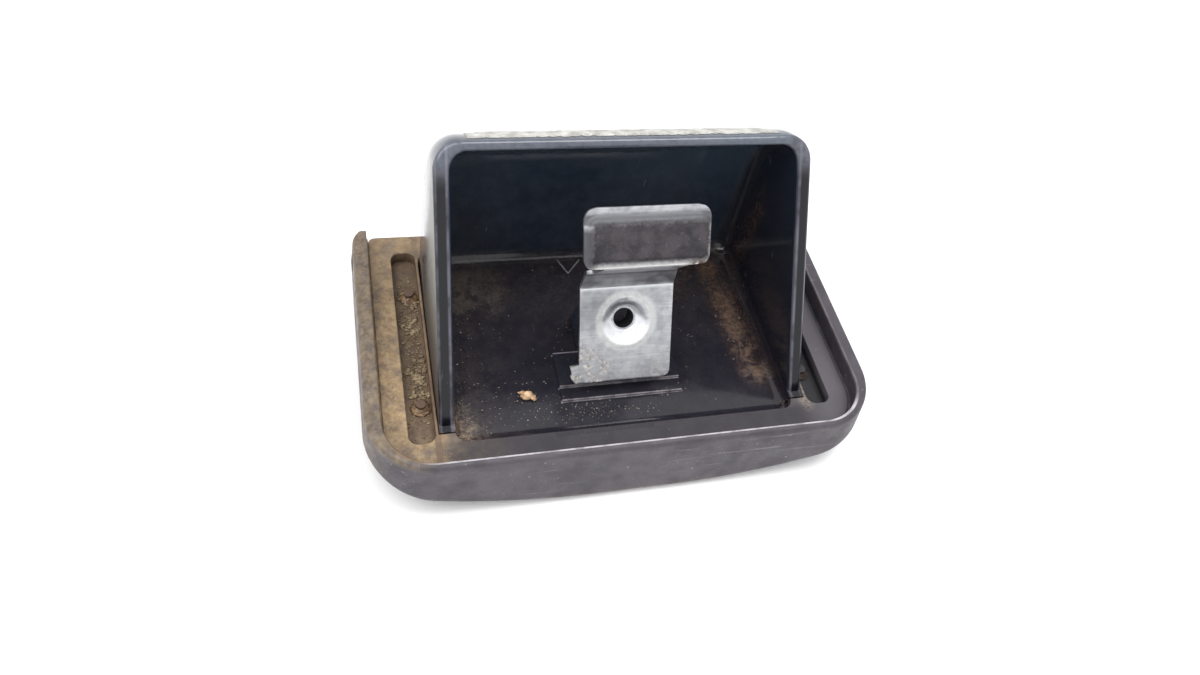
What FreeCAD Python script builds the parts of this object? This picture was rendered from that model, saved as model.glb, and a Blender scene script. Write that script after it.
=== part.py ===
"""Tilt-out ashtray insert of a car's rear door, lying on its decorative face.

+Z up, +X along the long side. -Y is the edge that is uppermost in the car. The origin is on the resting
surface, under the middle of the part. Millimetres.
"""
import FreeCAD, Part
import math
import os

from FreeCAD import Rotation, Vector

os.makedirs("parts", exist_ok=True)

# ---- driving dimensions -------------------------------------------------------------------------------
LEDGE_Z = 12.7            # top of the ledge round the bin
WALL_TOP_Z = 17.4         # top of the rim wall
HALF_WIDTH = 55.0         # half of the panel's width at ledge height
NEAR_Y = -31.7            # outside of the near wall at ledge height
FAR_Y = 33.0              # far edge of the panel
DRAFT = math.tan(math.radians(6.0))   # the walls lean in towards the rim
CORNER_R = 14.0           # near corners of the panel, in plan
INNER_CORNER_R = 10.5     # and the same corners inside the rim wall
FAR_CORNER_R = 5.5        # far corners of the panel, in plan

CROWN_FLAT = 8.0          # half width of the flat middle of the face
CROWN_R = 130.0           # radius of the crowned face either side of it
FACE_EDGE_R = 2.4         # rounding between the face and the walls
FACE_T = 2.0              # thickness of the face
WALL_T = 3.2              # thickness of the rim wall at the sides
NEAR_WALL_T = 1.6         # and along the near edge
FAR_WALL_T = 1.7          # thickness of the low wall under the far edge of the ledge
RIM_R = 1.1               # rounding of the rim wall's top, outside and inside
RIM_INNER_R = 0.3
EAR_R = 3.6               # rounding of the wall ends at the far edge
PIVOT_R = 2.0             # pivot socket in each wall end
PIVOT_DEPTH = 2.4
PIVOT_Y = 25.0
PIVOT_Z = 13.2

FRAME_T = 2.0             # thickness of the carrier frame's ledge
FRAME_GAP = 0.65          # groove between the frame and the rim wall
FRAME_FAR_R = 1.6         # far corners of the frame, in plan
POCKET_X = (41.0, 46.4)   # side pockets: inner and outer edge
POCKET_Y = (-22.6, 27.8)
POCKET_FLOOR_Z = 9.7
POCKET_WALL = 0.6
POCKET_FLOOR_T = 1.1
POCKET_R = 2.0
EDGE_R = 0.25              # rounding of the frame's upper edges

STUD_X = 43.2             # moulded studs with push nuts, two in each pocket
STUD_Y = {"far": 16.9, "near": -12.6}
STUD_R = 1.0
STUD_TOP_Z = 11.5
STUD_FOOT_R = 2.2
STUD_CLEAR = 0.2          # gap round a stud in the pocket floor
NUT_R = 2.15
NUT_T = 0.45
NUT_RISE = 0.7            # the nut is dished by this much

BIN_HALF_X = 40.2         # outside of the bin's side walls at ledge level
BIN_TOP_HALF_X = 38.7     # and where they end, above the mouth
BIN_TOP_Z = 57.0
BIN_NEAR_Y = -25.0
BIN_BACK_Y = 29.3
BIN_BOTTOM_Z = 8.0
BIN_WALL = 2.0            # near wall and back
BIN_SIDE_WALL = 3.2
BIN_FLOOR_T = 2.2
BACK_R = 22.0             # rounded back of the bin
BACK_CENTRE = (7.3, 36.7)  # (y, z)
BIN_EDGE_R = 5.5          # rounding between the bin's sides and its back
BIN_INNER_R = 3.6
LIP_R = 0.9               # rounding of the mouth's edges
BIN_NEAR_R = 2.6          # near corners of the bin, in plan
FOOT_R = 0.8              # rounding along the outside of the bin's floor
FLOOR_R = 2.6             # rounding round the inside of the bin's floor
MOUTH_FOOT_Y = -19.1      # where the slanted mouth meets the ledge
MOUTH_ANGLE = 53.0        # mouth plane, from the ledge
BIN_CLEAR = 0.2           # gap round the bin in the frame's window

FLANGE_OUT = 1.7          # clamp flanges of the bin, held between the frame and ribs of the cover
FLANGE_Z = (9.0, 10.7)
FLANGE_HALF_X = 33.0
RIB_T = 1.4

PAD_HALF_X = 13.6         # pad moulded on the bin's floor
PAD_NEAR_Y = (-14.6, -11.3)   # near edges of its lower and upper step
PAD_FAR_Y = -2.4
PAD_STEP = 0.5

PLATE_T = 0.8             # stubber: spring-steel sheet, one blank bent three times
PLATE_FOOT = (-12.9, 14.3)   # (y, z) of the base plate's lower edge, front face
PLATE_FOLD = (-1.2, 31.7)    # the bend that flexes
RISER_BEND = (-1.65, 36.7)
DISH_FOLD = (-7.5, 44.9)     # bottom of the dish
DISH_ANGLE = 54.3
DISH_LENGTH = 11.8
DISH_HALF_X = 12.6
DISH_RAISE = 1.1          # the stubbing face stands out of the dish's outline by this much
DISH_FACE_HALF_X = 11.3
DISH_FACE = (2.1, 9.3)    # bottom and top of the stubbing face, up the dish
DISH_R = 2.6
DISH_FOLD_HALF_X = 10.2
PLATE_HALF_X = 10.1
NECK_HALF_X = 8.4
RISER_TOP_HALF_X = 9.7
TAB_W = 1.8               # small foot tab on the left
TAB_H = 4.1
FOLD_GAP = 0.3
HOLE_AT = 13.3            # centre of the rivet, up the plate from its foot
DIMPLE_R = 5.0
DIMPLE_FLOOR_R = 3.4
DIMPLE_DEPTH = 2.8
CUP_WALL = 0.7            # the sheet is thinned where the dimple is drawn
RIVET_R = 2.5
RIVET_BORE_R = 2.15
RIVET_FLANGE_R = 3.1
RIVET_CLEAR = 0.05

PEDESTAL_HALF_X = 8.0     # wedge that carries the stubber
PEDESTAL_T = 2.0
PEDESTAL_FRONT_Y = -10.2
PEDESTAL_TOP = 18.8       # up the plate from its foot
BOSS_R = 5.6
GUSSET_BACK_Y = 7.5
WASHER_R = 4.2
WASHER_T = 0.6
ROLL_R = 3.5
ROLL_T = 0.5

STRIP_HALF_X = 32.0       # felt strip on the back shoulder
STRIP_T = 0.7
STRIP_ANGLES = (50.0, 68.0)   # from +Y towards +Z, about the back's centre

OVER = 1.0                # cutting tools run past a face by this much


# ---- helpers ------------------------------------------------------------------------------------------
def box(x, y, z):
    """Box from three (low, high) pairs."""
    return Part.makeBox(x[1] - x[0], y[1] - y[0], z[1] - z[0], Vector(x[0], y[0], z[0]))


def prism_x(points, half_x):
    """Closed outline of (y, z) points, extruded across the part."""
    corners = [Vector(-half_x, y, z) for y, z in points]
    face = Part.Face(Part.makePolygon(corners + corners[:1]))
    return face.extrude(Vector(2 * half_x, 0, 0))


def rounded_outline(half_x, near_y, far_y, near_r, far_r, z):
    """Rectangle in plan with its own near and far corner radii, as a wire at height z."""
    def turn(cx, cy, r, start):
        return Part.makeCircle(r, Vector(cx, cy, z), Vector(0, 0, 1), start, start + 90)

    near_c, far_c = near_y + near_r, far_y - far_r
    arcs = [
        turn(half_x - near_r, near_c, near_r, 270),
        turn(half_x - far_r, far_c, far_r, 0),
        turn(-half_x + far_r, far_c, far_r, 90),
        turn(-half_x + near_r, near_c, near_r, 180),
    ]
    edges = []
    for arc, following in zip(arcs, arcs[1:] + arcs[:1]):
        edges += [arc, Part.makeLine(arc.lastVertex().Point, following.firstVertex().Point)]
    return Part.Wire(edges)


def rounded_slab(half_x, near_y, far_y, near_r, far_r, z):
    """Rounded rectangle, extruded between the two heights in z."""
    face = Part.Face(rounded_outline(half_x, near_y, far_y, near_r, far_r, z[0]))
    return face.extrude(Vector(0, 0, z[1] - z[0]))


def middle_of(edge):
    """Point halfway along an edge."""
    return edge.valueAt((edge.FirstParameter + edge.LastParameter) / 2)


def edges_where(shape, test):
    """Edges of a shape whose middle point passes the test."""
    return [edge for edge in shape.Edges if test(middle_of(edge))]


def save(name, shape):
    """Write one node."""
    shape = shape.removeSplitter()
    shape.exportStep("parts/%s.step" % name)
    facts = (name, len(shape.Solids), shape.Volume, shape.isValid())
    print("%-20s solids %d  volume %8.1f  valid %s" % facts)


# ---- front cover --------------------------------------------------------------------------------------
def crown_height(x, inset):
    """Height of the crowned face above the resting surface, moved inwards by inset."""
    run = max(abs(x) - CROWN_FLAT, 0.0)
    radius = CROWN_R - inset
    return inset + radius - math.sqrt(radius ** 2 - run ** 2)


def above_crown(inset, top, y):
    """Everything between the crowned face, moved inwards by inset, and a flat top."""
    reach = HALF_WIDTH + 4.0
    middle = CROWN_FLAT + (reach - CROWN_FLAT) / 2
    low = crown_height(0, inset)

    def arc(side):
        points = [Vector(side * x, y[0], crown_height(x, inset)) for x in (CROWN_FLAT, middle, reach)]
        return Part.Arc(*points)

    corners = [Vector(-reach, y[0], top), Vector(reach, y[0], top)]
    outline = Part.Wire([
        Part.makeLine(Vector(-CROWN_FLAT, y[0], low), Vector(CROWN_FLAT, y[0], low)),
        arc(1).toShape(),
        Part.makeLine(Vector(reach, y[0], crown_height(reach, inset)), corners[1]),
        Part.makeLine(corners[1], corners[0]),
        Part.makeLine(corners[0], Vector(-reach, y[0], crown_height(reach, inset))),
        Part.Wire(arc(-1).toShape()).Edges[0],
    ])
    return Part.Face(outline).extrude(Vector(0, y[1] - y[0], 0))


def drafted_block(side_inset, near_inset, far_y, near_r):
    """The panel's outline with its drafted walls, moved inwards at the sides and the near edge."""
    wires = []
    for z in (0.0, WALL_TOP_Z):
        lean = (LEDGE_Z - z) * DRAFT
        half_x, near_y = HALF_WIDTH + lean - side_inset, NEAR_Y - lean + near_inset
        wires.append(rounded_outline(half_x, near_y, far_y, near_r, FAR_CORNER_R, z))
    return Part.makeLoft(wires, True, True)


def from_outline(point):
    """Distance outwards from the panel's outline at ledge level, negative inside."""
    side = max(abs(point.x) - HALF_WIDTH + CORNER_R, 0.0)
    near = max(NEAR_Y + CORNER_R - point.y, 0.0)
    return math.hypot(side, near) - CORNER_R


def front_cover():
    span = (NEAR_Y - 5.0, FAR_Y + 5.0)
    shell = drafted_block(0.0, 0.0, FAR_Y, CORNER_R).common(above_crown(0.0, WALL_TOP_Z, span))
    shell = shell.makeFillet(FACE_EDGE_R, edges_where(shell, is_rim_of_face))

    # room for the ledge, open at the far edge; what is left standing round it is the rim wall
    above_frame = (LEDGE_Z - FRAME_T, WALL_TOP_Z + OVER)
    ledge_run = box((-HALF_WIDTH, HALF_WIDTH), (-span[1], 2 * span[1]), above_frame)
    shell = shell.cut(drafted_block(WALL_T, NEAR_WALL_T, 2 * FAR_Y, INNER_CORNER_R).common(ledge_run))
    shell = shell.makeFillet(RIM_R, edges_where(shell, is_outer_top))
    shell = shell.makeFillet(RIM_INNER_R, edges_where(shell, is_inner_top))

    hollow = drafted_block(WALL_T, WALL_T, FAR_Y - FAR_WALL_T, CORNER_R - WALL_T)
    hollow = hollow.common(above_crown(FACE_T, LEDGE_Z, span))
    shell = shell.cut(hollow).cut(ear_rounding())
    for side in (-1, 1):
        mouth = Vector(side * (HALF_WIDTH + OVER), PIVOT_Y, PIVOT_Z)
        shell = shell.cut(Part.makeCylinder(PIVOT_R, PIVOT_DEPTH + OVER, mouth, Vector(-side, 0, 0)))
    return shell.fuse(clamp_ribs()).fuse(studs())


def is_outer_top(centre):
    """True on the outer top edge of the rim wall."""
    return centre.z > WALL_TOP_Z - 0.01 and from_outline(centre) > -NEAR_WALL_T


def is_inner_top(centre):
    """True on the inner top edge of the rim wall, up to its rounded ends."""
    on_top = centre.z > WALL_TOP_Z - 0.01 and centre.y < FAR_Y - EAR_R
    return on_top and from_outline(centre) < -NEAR_WALL_T


def is_rim_of_face(centre):
    """True near the edge where the crowned face meets the near wall or a side wall."""
    on_face = abs(centre.z - crown_height(centre.x, 0.0)) < 1.5
    return on_face and centre.z < LEDGE_Z - 1.0 and centre.y < FAR_Y - 1.0


def ear_rounding():
    """What is cut off the far end of both rim walls to round them."""
    reach = HALF_WIDTH + 5.0
    start = Vector(-reach, FAR_Y - EAR_R, WALL_TOP_Z - EAR_R)
    corner = box((-reach, reach), (start.y, FAR_Y + OVER), (start.z, WALL_TOP_Z + OVER))
    drum = Part.makeCylinder(EAR_R, 2 * reach, start, Vector(1, 0, 0))
    return corner.cut(drum)


def clamp_ribs():
    """Two ribs on the inside of the face that the bin's flanges sit on."""
    outer = FLANGE_OUT - BIN_CLEAR
    near = box((-FLANGE_HALF_X, FLANGE_HALF_X), (BIN_NEAR_Y - outer, BIN_NEAR_Y - outer + RIB_T),
               (FACE_T / 2, FLANGE_Z[0]))
    far = box((-FLANGE_HALF_X, FLANGE_HALF_X), (BIN_BACK_Y + outer - RIB_T, BIN_BACK_Y + outer),
              (FACE_T / 2, FLANGE_Z[0]))
    kept = above_crown(FACE_T / 2, WALL_TOP_Z, (NEAR_Y, FAR_Y))
    return near.fuse(far).common(kept)


def studs():
    """Four moulded studs that pass through the pocket floors."""
    kept = above_crown(FACE_T / 2, WALL_TOP_Z, (NEAR_Y, FAR_Y))
    shapes = []
    for side in (-1, 1):
        for y in STUD_Y.values():
            base = Vector(side * STUD_X, y, 0)
            foot = Part.makeCylinder(STUD_FOOT_R, POCKET_FLOOR_Z - POCKET_FLOOR_T, base)
            pin = Part.makeCylinder(STUD_R, STUD_TOP_Z, base)
            shapes.append(foot.fuse(pin).common(kept))
    return shapes[0].multiFuse(shapes[1:])


# ---- carrier frame ------------------------------------------------------------------------------------
def carrier_frame():
    half_x, near_y = HALF_WIDTH - WALL_T - FRAME_GAP, NEAR_Y + NEAR_WALL_T + FRAME_GAP
    plate = rounded_slab(half_x, near_y, FAR_Y, INNER_CORNER_R - FRAME_GAP, FRAME_FAR_R,
                         (LEDGE_Z - FRAME_T, LEDGE_Z))
    for side in (-1, 1):
        tub_z = (POCKET_FLOOR_Z - POCKET_FLOOR_T, LEDGE_Z - FRAME_T / 2)
        plate = plate.fuse(pocket_slab(side, POCKET_WALL, tub_z))
    plate = plate.cut(bin_window())
    for side in (-1, 1):
        plate = plate.cut(pocket_slab(side, 0.0, (POCKET_FLOOR_Z, LEDGE_Z + OVER)))
        for y in STUD_Y.values():
            plate = plate.cut(Part.makeCylinder(STUD_R + STUD_CLEAR, LEDGE_Z, Vector(side * STUD_X, y, 0)))
    return plate.makeFillet(EDGE_R, edges_where(plate, lambda c: c.z > LEDGE_Z - 0.01))


def bin_window():
    """Hole in the ledge. The bin's sides and back come up through it; its near wall ends below."""
    through = (0.0, WALL_TOP_Z)
    foot_y = mouth_point(LEDGE_Z - FRAME_T)[0]
    clear = BIN_CLEAR
    main = rounded_slab(BIN_HALF_X + clear, foot_y - clear, BIN_BACK_Y + clear, EDGE_R, BIN_EDGE_R, through)
    near = rounded_slab(BIN_HALF_X - BIN_SIDE_WALL, BIN_NEAR_Y + BIN_WALL, foot_y + BIN_WALL,
                        BIN_NEAR_R - EDGE_R, EDGE_R, through)
    return main.fuse(near)


def pocket_slab(side, grow, z):
    """Plan shape of one side pocket, grown outwards, between two heights."""
    half = (POCKET_X[1] - POCKET_X[0]) / 2 + grow
    slab = rounded_slab(half, POCKET_Y[0] - grow, POCKET_Y[1] + grow, POCKET_R + grow, POCKET_R + grow, z)
    slab.translate(Vector(side * (POCKET_X[0] + POCKET_X[1]) / 2, 0, 0))
    return slab


def push_nut(side, y):
    """Dished steel push nut on a stud, standing on the pocket floor."""
    half_profile = [
        (STUD_R + 0.03, POCKET_FLOOR_Z + NUT_RISE),
        (NUT_R, POCKET_FLOOR_Z),
        (NUT_R, POCKET_FLOOR_Z + NUT_T),
        (STUD_R + 0.03, POCKET_FLOOR_Z + NUT_RISE + NUT_T),
    ]
    corners = [Vector(r, 0, z) for r, z in half_profile]
    face = Part.Face(Part.makePolygon(corners + corners[:1]))
    nut = face.revolve(Vector(0, 0, 0), Vector(0, 0, 1), 360)
    nut.translate(Vector(side * STUD_X, y, 0))
    return nut


# ---- ash bin ------------------------------------------------------------------------------------------
def mouth_point(z):
    """(y, z) on the mouth plane at a height."""
    return (MOUTH_FOOT_Y + (z - LEDGE_Z) / math.tan(math.radians(MOUTH_ANGLE)), z)


def half_x_at(z):
    """Outside half width of the bin at a height; the side walls draw in upwards."""
    return BIN_HALF_X + (BIN_TOP_HALF_X - BIN_HALF_X) * (z - LEDGE_Z) / (BIN_TOP_Z - LEDGE_Z)


def bin_block(inset, side_inset, floor_z):
    """The bin's side profile, moved inwards by inset, full height, between its tapered sides."""
    radius = BACK_R - inset
    back_y = BACK_CENTRE[0] + radius
    near_y = BIN_NEAR_Y + inset
    reach = BIN_HALF_X + OVER
    high_z = BACK_CENTRE[1] + radius
    low = box((-reach, reach), (near_y, back_y), (floor_z, BACK_CENTRE[1]))
    drum = Part.makeCylinder(radius, 2 * reach, Vector(-reach, *BACK_CENTRE), Vector(1, 0, 0))
    high = box((-reach, reach), (near_y, BACK_CENTRE[0]), (BACK_CENTRE[1], high_z))
    block = low.fuse(drum.cut(low)).fuse(high).removeSplitter()

    top_z = high_z + OVER
    low_x, high_x = half_x_at(0.0) - side_inset, half_x_at(top_z) - side_inset
    corners = [(-low_x, 0.0), (low_x, 0.0), (high_x, top_z), (-high_x, top_z)]
    points = [Vector(x, near_y - OVER, z) for x, z in corners]
    run = Vector(0, back_y - near_y + 2 * OVER, 0)
    return block.common(Part.Face(Part.makePolygon(points + points[:1])).extrude(run))


def on_side(point, side_inset):
    """True for a point on one of the bin's tapered sides."""
    return abs(abs(point.x) - half_x_at(point.z) + side_inset) < 0.1


def above_mouth():
    """Everything on the open side of the mouth plane."""
    top = mouth_point(BACK_CENTRE[1] + 2 * BACK_R)
    out_y = BIN_NEAR_Y - BIN_WALL
    outline = [(out_y, LEDGE_Z), mouth_point(LEDGE_Z), top, (out_y, top[1])]
    return prism_x(outline, BIN_HALF_X + BIN_WALL)


def under_ledge():
    """What is taken off the near wall so that the frame's ledge passes over it."""
    reach = BIN_HALF_X + BIN_WALL
    foot_y = mouth_point(LEDGE_Z - FRAME_T)[0]
    return box((-reach, reach), (BIN_NEAR_Y - BIN_WALL, foot_y), (LEDGE_Z - FRAME_T, LEDGE_Z + OVER))


def rounded_bin_block(inset, side_inset, floor_z, back_r, floor_r):
    """The bin's block with its upright and floor edges rounded."""
    block = bin_block(inset, side_inset, floor_z)
    near_y = BIN_NEAR_Y + inset
    back_y = BACK_CENTRE[0] + 1.0

    def upright(point):
        return on_side(point, side_inset) and point.z > floor_z + 1.0

    block = block.makeFillet(back_r, edges_where(block, lambda c: upright(c) and c.y > back_y))
    block = block.makeFillet(BIN_NEAR_R, edges_where(block, lambda c: upright(c) and c.y < near_y + 0.1))
    return block.makeFillet(floor_r, edges_where(block, lambda c: c.z < floor_z + 0.1))


def ash_bin():
    outside = rounded_bin_block(0.0, 0.0, BIN_BOTTOM_Z, BIN_EDGE_R, FOOT_R)
    inside = rounded_bin_block(BIN_WALL, BIN_SIDE_WALL, BIN_BOTTOM_Z + BIN_FLOOR_T, BIN_INNER_R, FLOOR_R)
    shape = outside.cut(inside).cut(above_mouth())
    shape = shape.makeFillet(LIP_R, edges_where(shape, is_on_mouth)).cut(under_ledge())
    shape = shape.fuse(pedestal()).multiFuse(floor_pad() + flanges())
    return shape.cut(rivet_hole())


def is_on_mouth(point):
    """True for a point of the slanted mouth."""
    return point.z > LEDGE_Z + 0.5 and abs(mouth_point(point.z)[0] - point.y) < LIP_R


def floor_pad():
    """Low two-step pad moulded on the floor, under and in front of the stubber's foot."""
    floor_z = BIN_BOTTOM_Z + BIN_FLOOR_T
    steps = []
    for count, near_y in enumerate(PAD_NEAR_Y, start=1):
        heights = (floor_z - PAD_STEP, floor_z + count * PAD_STEP)
        steps.append(box((-PAD_HALF_X, PAD_HALF_X), (near_y, PAD_FAR_Y), heights))
    return steps


def flanges():
    """Near and far clamp flanges, hidden under the ledge."""
    across = (-FLANGE_HALF_X, FLANGE_HALF_X)
    near = box(across, (BIN_NEAR_Y - FLANGE_OUT, BIN_NEAR_Y + BIN_WALL / 2), FLANGE_Z)
    far = box(across, (BIN_BACK_Y - BIN_WALL / 2, BIN_BACK_Y + FLANGE_OUT), FLANGE_Z)
    return [near, far]


# ---- stubber ------------------------------------------------------------------------------------------
PLATE_RUN = Vector(0, PLATE_FOLD[0] - PLATE_FOOT[0], PLATE_FOLD[1] - PLATE_FOOT[1])
PLATE_LENGTH = PLATE_RUN.Length
PLATE_UP = Vector(PLATE_RUN).normalize()
PLATE_FRONT = Vector(0, -PLATE_UP.z, PLATE_UP.y)      # out of the plate, towards the mouth


def on_plate(x, up, out):
    """Point given across, up and out of the base plate's front face."""
    return Vector(x, *PLATE_FOOT) + PLATE_UP * up + PLATE_FRONT * out


def sheet(corners, out, thickness):
    """Flat sheet on the base plate: (x, up) corners, front face at out."""
    points = [on_plate(x, up, out) for x, up in corners]
    return Part.Face(Part.makePolygon(points + points[:1])).extrude(PLATE_FRONT * -thickness)


def on_rivet_axis(profile):
    """Solid of revolution about the rivet: (radius, out) points."""
    points = [on_plate(r, HOLE_AT, out) for r, out in profile]
    face = Part.Face(Part.makePolygon(points + points[:1]))
    return face.revolve(on_plate(0, HOLE_AT, 0), PLATE_FRONT, 360)


def dimple(grow, depth):
    """The dimple's drawn cup as a solid, from above the plate's front face down to depth."""
    floor_r = DIMPLE_FLOOR_R + grow
    rim_r = DIMPLE_R + grow
    return on_rivet_axis([(0, OVER), (rim_r, OVER), (rim_r, 0), (floor_r, -depth), (0, -depth)])


def rivet_bore(depth):
    """Round hole for the rivet's shank, from above the plate down to depth."""
    bore = RIVET_R + RIVET_CLEAR
    return on_rivet_axis([(0, OVER), (bore, OVER), (bore, -depth), (0, -depth)])


def behind_plate(start, thickness):
    """Square slab behind the base plate's front face, wider than the dimple."""
    reach = 2 * DIMPLE_R
    low, high = HOLE_AT - reach, HOLE_AT + reach
    return sheet([(-reach, low), (reach, low), (reach, high), (-reach, high)], -start, thickness)


def seat_depth():
    """How far behind the plate's front face the pedestal's riveted wall starts."""
    return DIMPLE_DEPTH + PLATE_T


def wall_back():
    """How far behind the plate's front face the pedestal's riveted wall ends."""
    return seat_depth() + PEDESTAL_T


def pedestal():
    """Hollow wedge behind the base plate, with a boss round the dimple and the rivet."""
    floor_z = BIN_BOTTOM_Z + BIN_FLOOR_T
    top = on_plate(0, PEDESTAL_TOP, -PLATE_T)
    rise = PLATE_UP.z / PLATE_UP.y
    front_z = top.z - (top.y - PEDESTAL_FRONT_Y) * rise
    outline = [
        (PEDESTAL_FRONT_Y, floor_z - 0.5),
        (PEDESTAL_FRONT_Y, front_z),
        (top.y, top.z),
        (top.y + PEDESTAL_T, top.z),
        (GUSSET_BACK_Y, floor_z - 0.5),
    ]
    wall = PEDESTAL_T
    inner = [
        (PEDESTAL_FRONT_Y + wall, floor_z),
        (PEDESTAL_FRONT_Y + wall, front_z - wall),
        (top.y + wall, top.z - 2 * wall),
        (top.y + wall, top.z + OVER),
        (GUSSET_BACK_Y + OVER, top.z + OVER),
        (GUSSET_BACK_Y + OVER, floor_z),
    ]
    block = prism_x(outline, PEDESTAL_HALF_X)
    shell = block.cut(prism_x(inner, PEDESTAL_HALF_X - wall))
    boss = on_rivet_axis([(0, -PLATE_T), (BOSS_R, -PLATE_T), (BOSS_R, -wall_back()), (0, -wall_back())])
    return shell.fuse(boss.common(block))


def rivet_hole():
    """Clearance in the pedestal for the dimple and the rivet."""
    return dimple(CUP_WALL + RIVET_CLEAR, seat_depth()).fuse(rivet_bore(wall_back() + OVER))


def stubber_bracket():
    top = PLATE_LENGTH - FOLD_GAP / 2
    half = PLATE_HALF_X
    outline = [
        (-half - 0.8, 0), (half - 1.6, 0), (half - 0.5, 0.5), (half, 1.6), (half, top), (-half, top),
        (-half, TAB_H - 0.1), (-half - TAB_W, TAB_H), (-half - TAB_W + 0.5, TAB_H / 2),
    ]
    plate = sheet(outline, 0.0, PLATE_T)
    cup = dimple(CUP_WALL, seat_depth()).common(behind_plate(0.0, 2 * DIMPLE_R))
    return plate.fuse(cup).cut(dimple(0.0, DIMPLE_DEPTH)).cut(rivet_bore(2 * seat_depth()))


def stubber_rivet():
    """Hollow rivet: flange on the dimple's floor, tube, and a rolled end behind the washer."""
    skin = RIVET_R - RIVET_BORE_R
    end = wall_back() + WASHER_T
    profile = [
        (RIVET_BORE_R, -DIMPLE_DEPTH + skin),
        (RIVET_FLANGE_R, -DIMPLE_DEPTH + skin),
        (RIVET_FLANGE_R, -DIMPLE_DEPTH),
        (RIVET_R, -DIMPLE_DEPTH),
        (RIVET_R, -end),
        (ROLL_R, -end),
        (ROLL_R, -end - ROLL_T),
        (RIVET_BORE_R, -end - ROLL_T),
    ]
    return on_rivet_axis(profile)


def rivet_washer():
    bore = RIVET_R + RIVET_CLEAR
    front = -wall_back()
    back = front - WASHER_T
    return on_rivet_axis([(bore, front), (WASHER_R, front), (WASHER_R, back), (bore, back)])


DISH_UP = Vector(0, math.cos(math.radians(DISH_ANGLE)), math.sin(math.radians(DISH_ANGLE)))
DISH_OUT = Vector(0, -DISH_UP.z, DISH_UP.y)


def dish_outline(corners, raised):
    """Closed outline of (x, up the dish) corners, lifted out of the dish's plane."""
    base = Vector(0, *DISH_FOLD) + DISH_OUT * raised
    points = [base + Vector(x, 0, 0) + DISH_UP * up for x, up in corners]
    return Part.makePolygon(points + points[:1])


def cut_corners(half_x, low, high, low_cut, high_cut):
    """Rectangle with cut-off corners, as (x, up) points."""
    right = [
        (half_x - low_cut, low),
        (half_x, low + low_cut),
        (half_x, high - high_cut),
        (half_x - high_cut, high),
    ]
    return right + [(-x, up) for x, up in reversed(right)]


def dish_block():
    """The dish filled solid: its outline at the back, the raised stubbing face in front."""
    low_cut = DISH_HALF_X - DISH_FOLD_HALF_X
    back = dish_outline(cut_corners(DISH_HALF_X, 0.0, DISH_LENGTH, low_cut, DISH_R / 2), 0.0)
    face_cut = DISH_R / 3
    front = dish_outline(cut_corners(DISH_FACE_HALF_X, *DISH_FACE, face_cut, face_cut), DISH_RAISE)
    rim = Part.Face(back).extrude(DISH_OUT * -PLATE_T)
    return Part.makeLoft([back, front], True, True).fuse(rim)


def strip_of_sheet(corners, half_widths):
    """Flat sheet whose (y, z) side view is given by four corners, with a half width at each end."""
    ends = []
    for half_x, (front, back) in zip(half_widths, (corners[:2], corners[2:])):
        left = [Vector(-half_x, *back), Vector(-half_x, *front)]
        right = [Vector(half_x, *front), Vector(half_x, *back)]
        ends.append(Part.makePolygon(left + right + left[:1]))
    return Part.makeLoft(ends, True, True)


def stubber_dish():
    """Riser, narrow neck, and the dish with its raised stubbing face."""
    block = dish_block()
    hollow = block.copy()
    hollow.translate(DISH_OUT * -PLATE_T)

    fold, bend, dish = [Vector(0, *point) for point in (PLATE_FOLD, RISER_BEND, DISH_FOLD)]
    rise = (bend - fold).normalize()
    lean = (dish - bend).normalize()
    behind_rise = Vector(0, rise.z, -rise.y)
    behind_lean = Vector(0, lean.z, -lean.y)
    mitre = (behind_rise + behind_lean).normalize()
    start = fold + rise * (FOLD_GAP / 2)
    back_of_bend = bend + mitre * (PLATE_T / mitre.dot(behind_rise))
    side_view = [(point.y, point.z) for point in (
        start, start + behind_rise * PLATE_T, bend, back_of_bend, dish, dish + behind_lean * PLATE_T)]
    riser = strip_of_sheet(side_view[:4], (PLATE_HALF_X, RISER_TOP_HALF_X))
    neck = strip_of_sheet(side_view[2:], (NECK_HALF_X, NECK_HALF_X))
    return block.cut(hollow).multiFuse([riser, neck])


# ---- felt strip ---------------------------------------------------------------------------------------
def rattle_strip():
    """Felt strip that follows the round of the bin's back."""
    start, end = [math.radians(a) for a in STRIP_ANGLES]

    def at(radius, angle):
        y, z = BACK_CENTRE
        return Vector(-STRIP_HALF_X, y + radius * math.cos(angle), z + radius * math.sin(angle))

    def arc(radius, first, last):
        return Part.Arc(at(radius, first), at(radius, (first + last) / 2), at(radius, last)).toShape()

    low, high = BACK_R, BACK_R + STRIP_T
    outline = Part.Wire([
        arc(low, start, end),
        Part.makeLine(at(low, end), at(high, end)),
        arc(high, end, start),
        Part.makeLine(at(high, start), at(low, start)),
    ])
    return Part.Face(outline).extrude(Vector(2 * STRIP_HALF_X, 0, 0))


# ---- build --------------------------------------------------------------------------------------------
save("front_cover", front_cover())
save("carrier_frame", carrier_frame())
for side, side_name in ((-1, "left"), (1, "right")):
    for place, stud_y in STUD_Y.items():
        save("push_nut_%s_%s" % (side_name, place), push_nut(side, stud_y))
save("ash_bin", ash_bin())
save("stubber_bracket", stubber_bracket())
save("stubber_dish", stubber_dish())
save("stubber_rivet", stubber_rivet())
save("rivet_washer", rivet_washer())
save("rattle_strip", rattle_strip())
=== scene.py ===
"""Looks of the tilt-out ashtray insert: camera, floor, light, materials and fine detail on the CAD frame."""

import math
import random

import bmesh
import bpy
from mathutils import Matrix, Vector, noise


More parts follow.
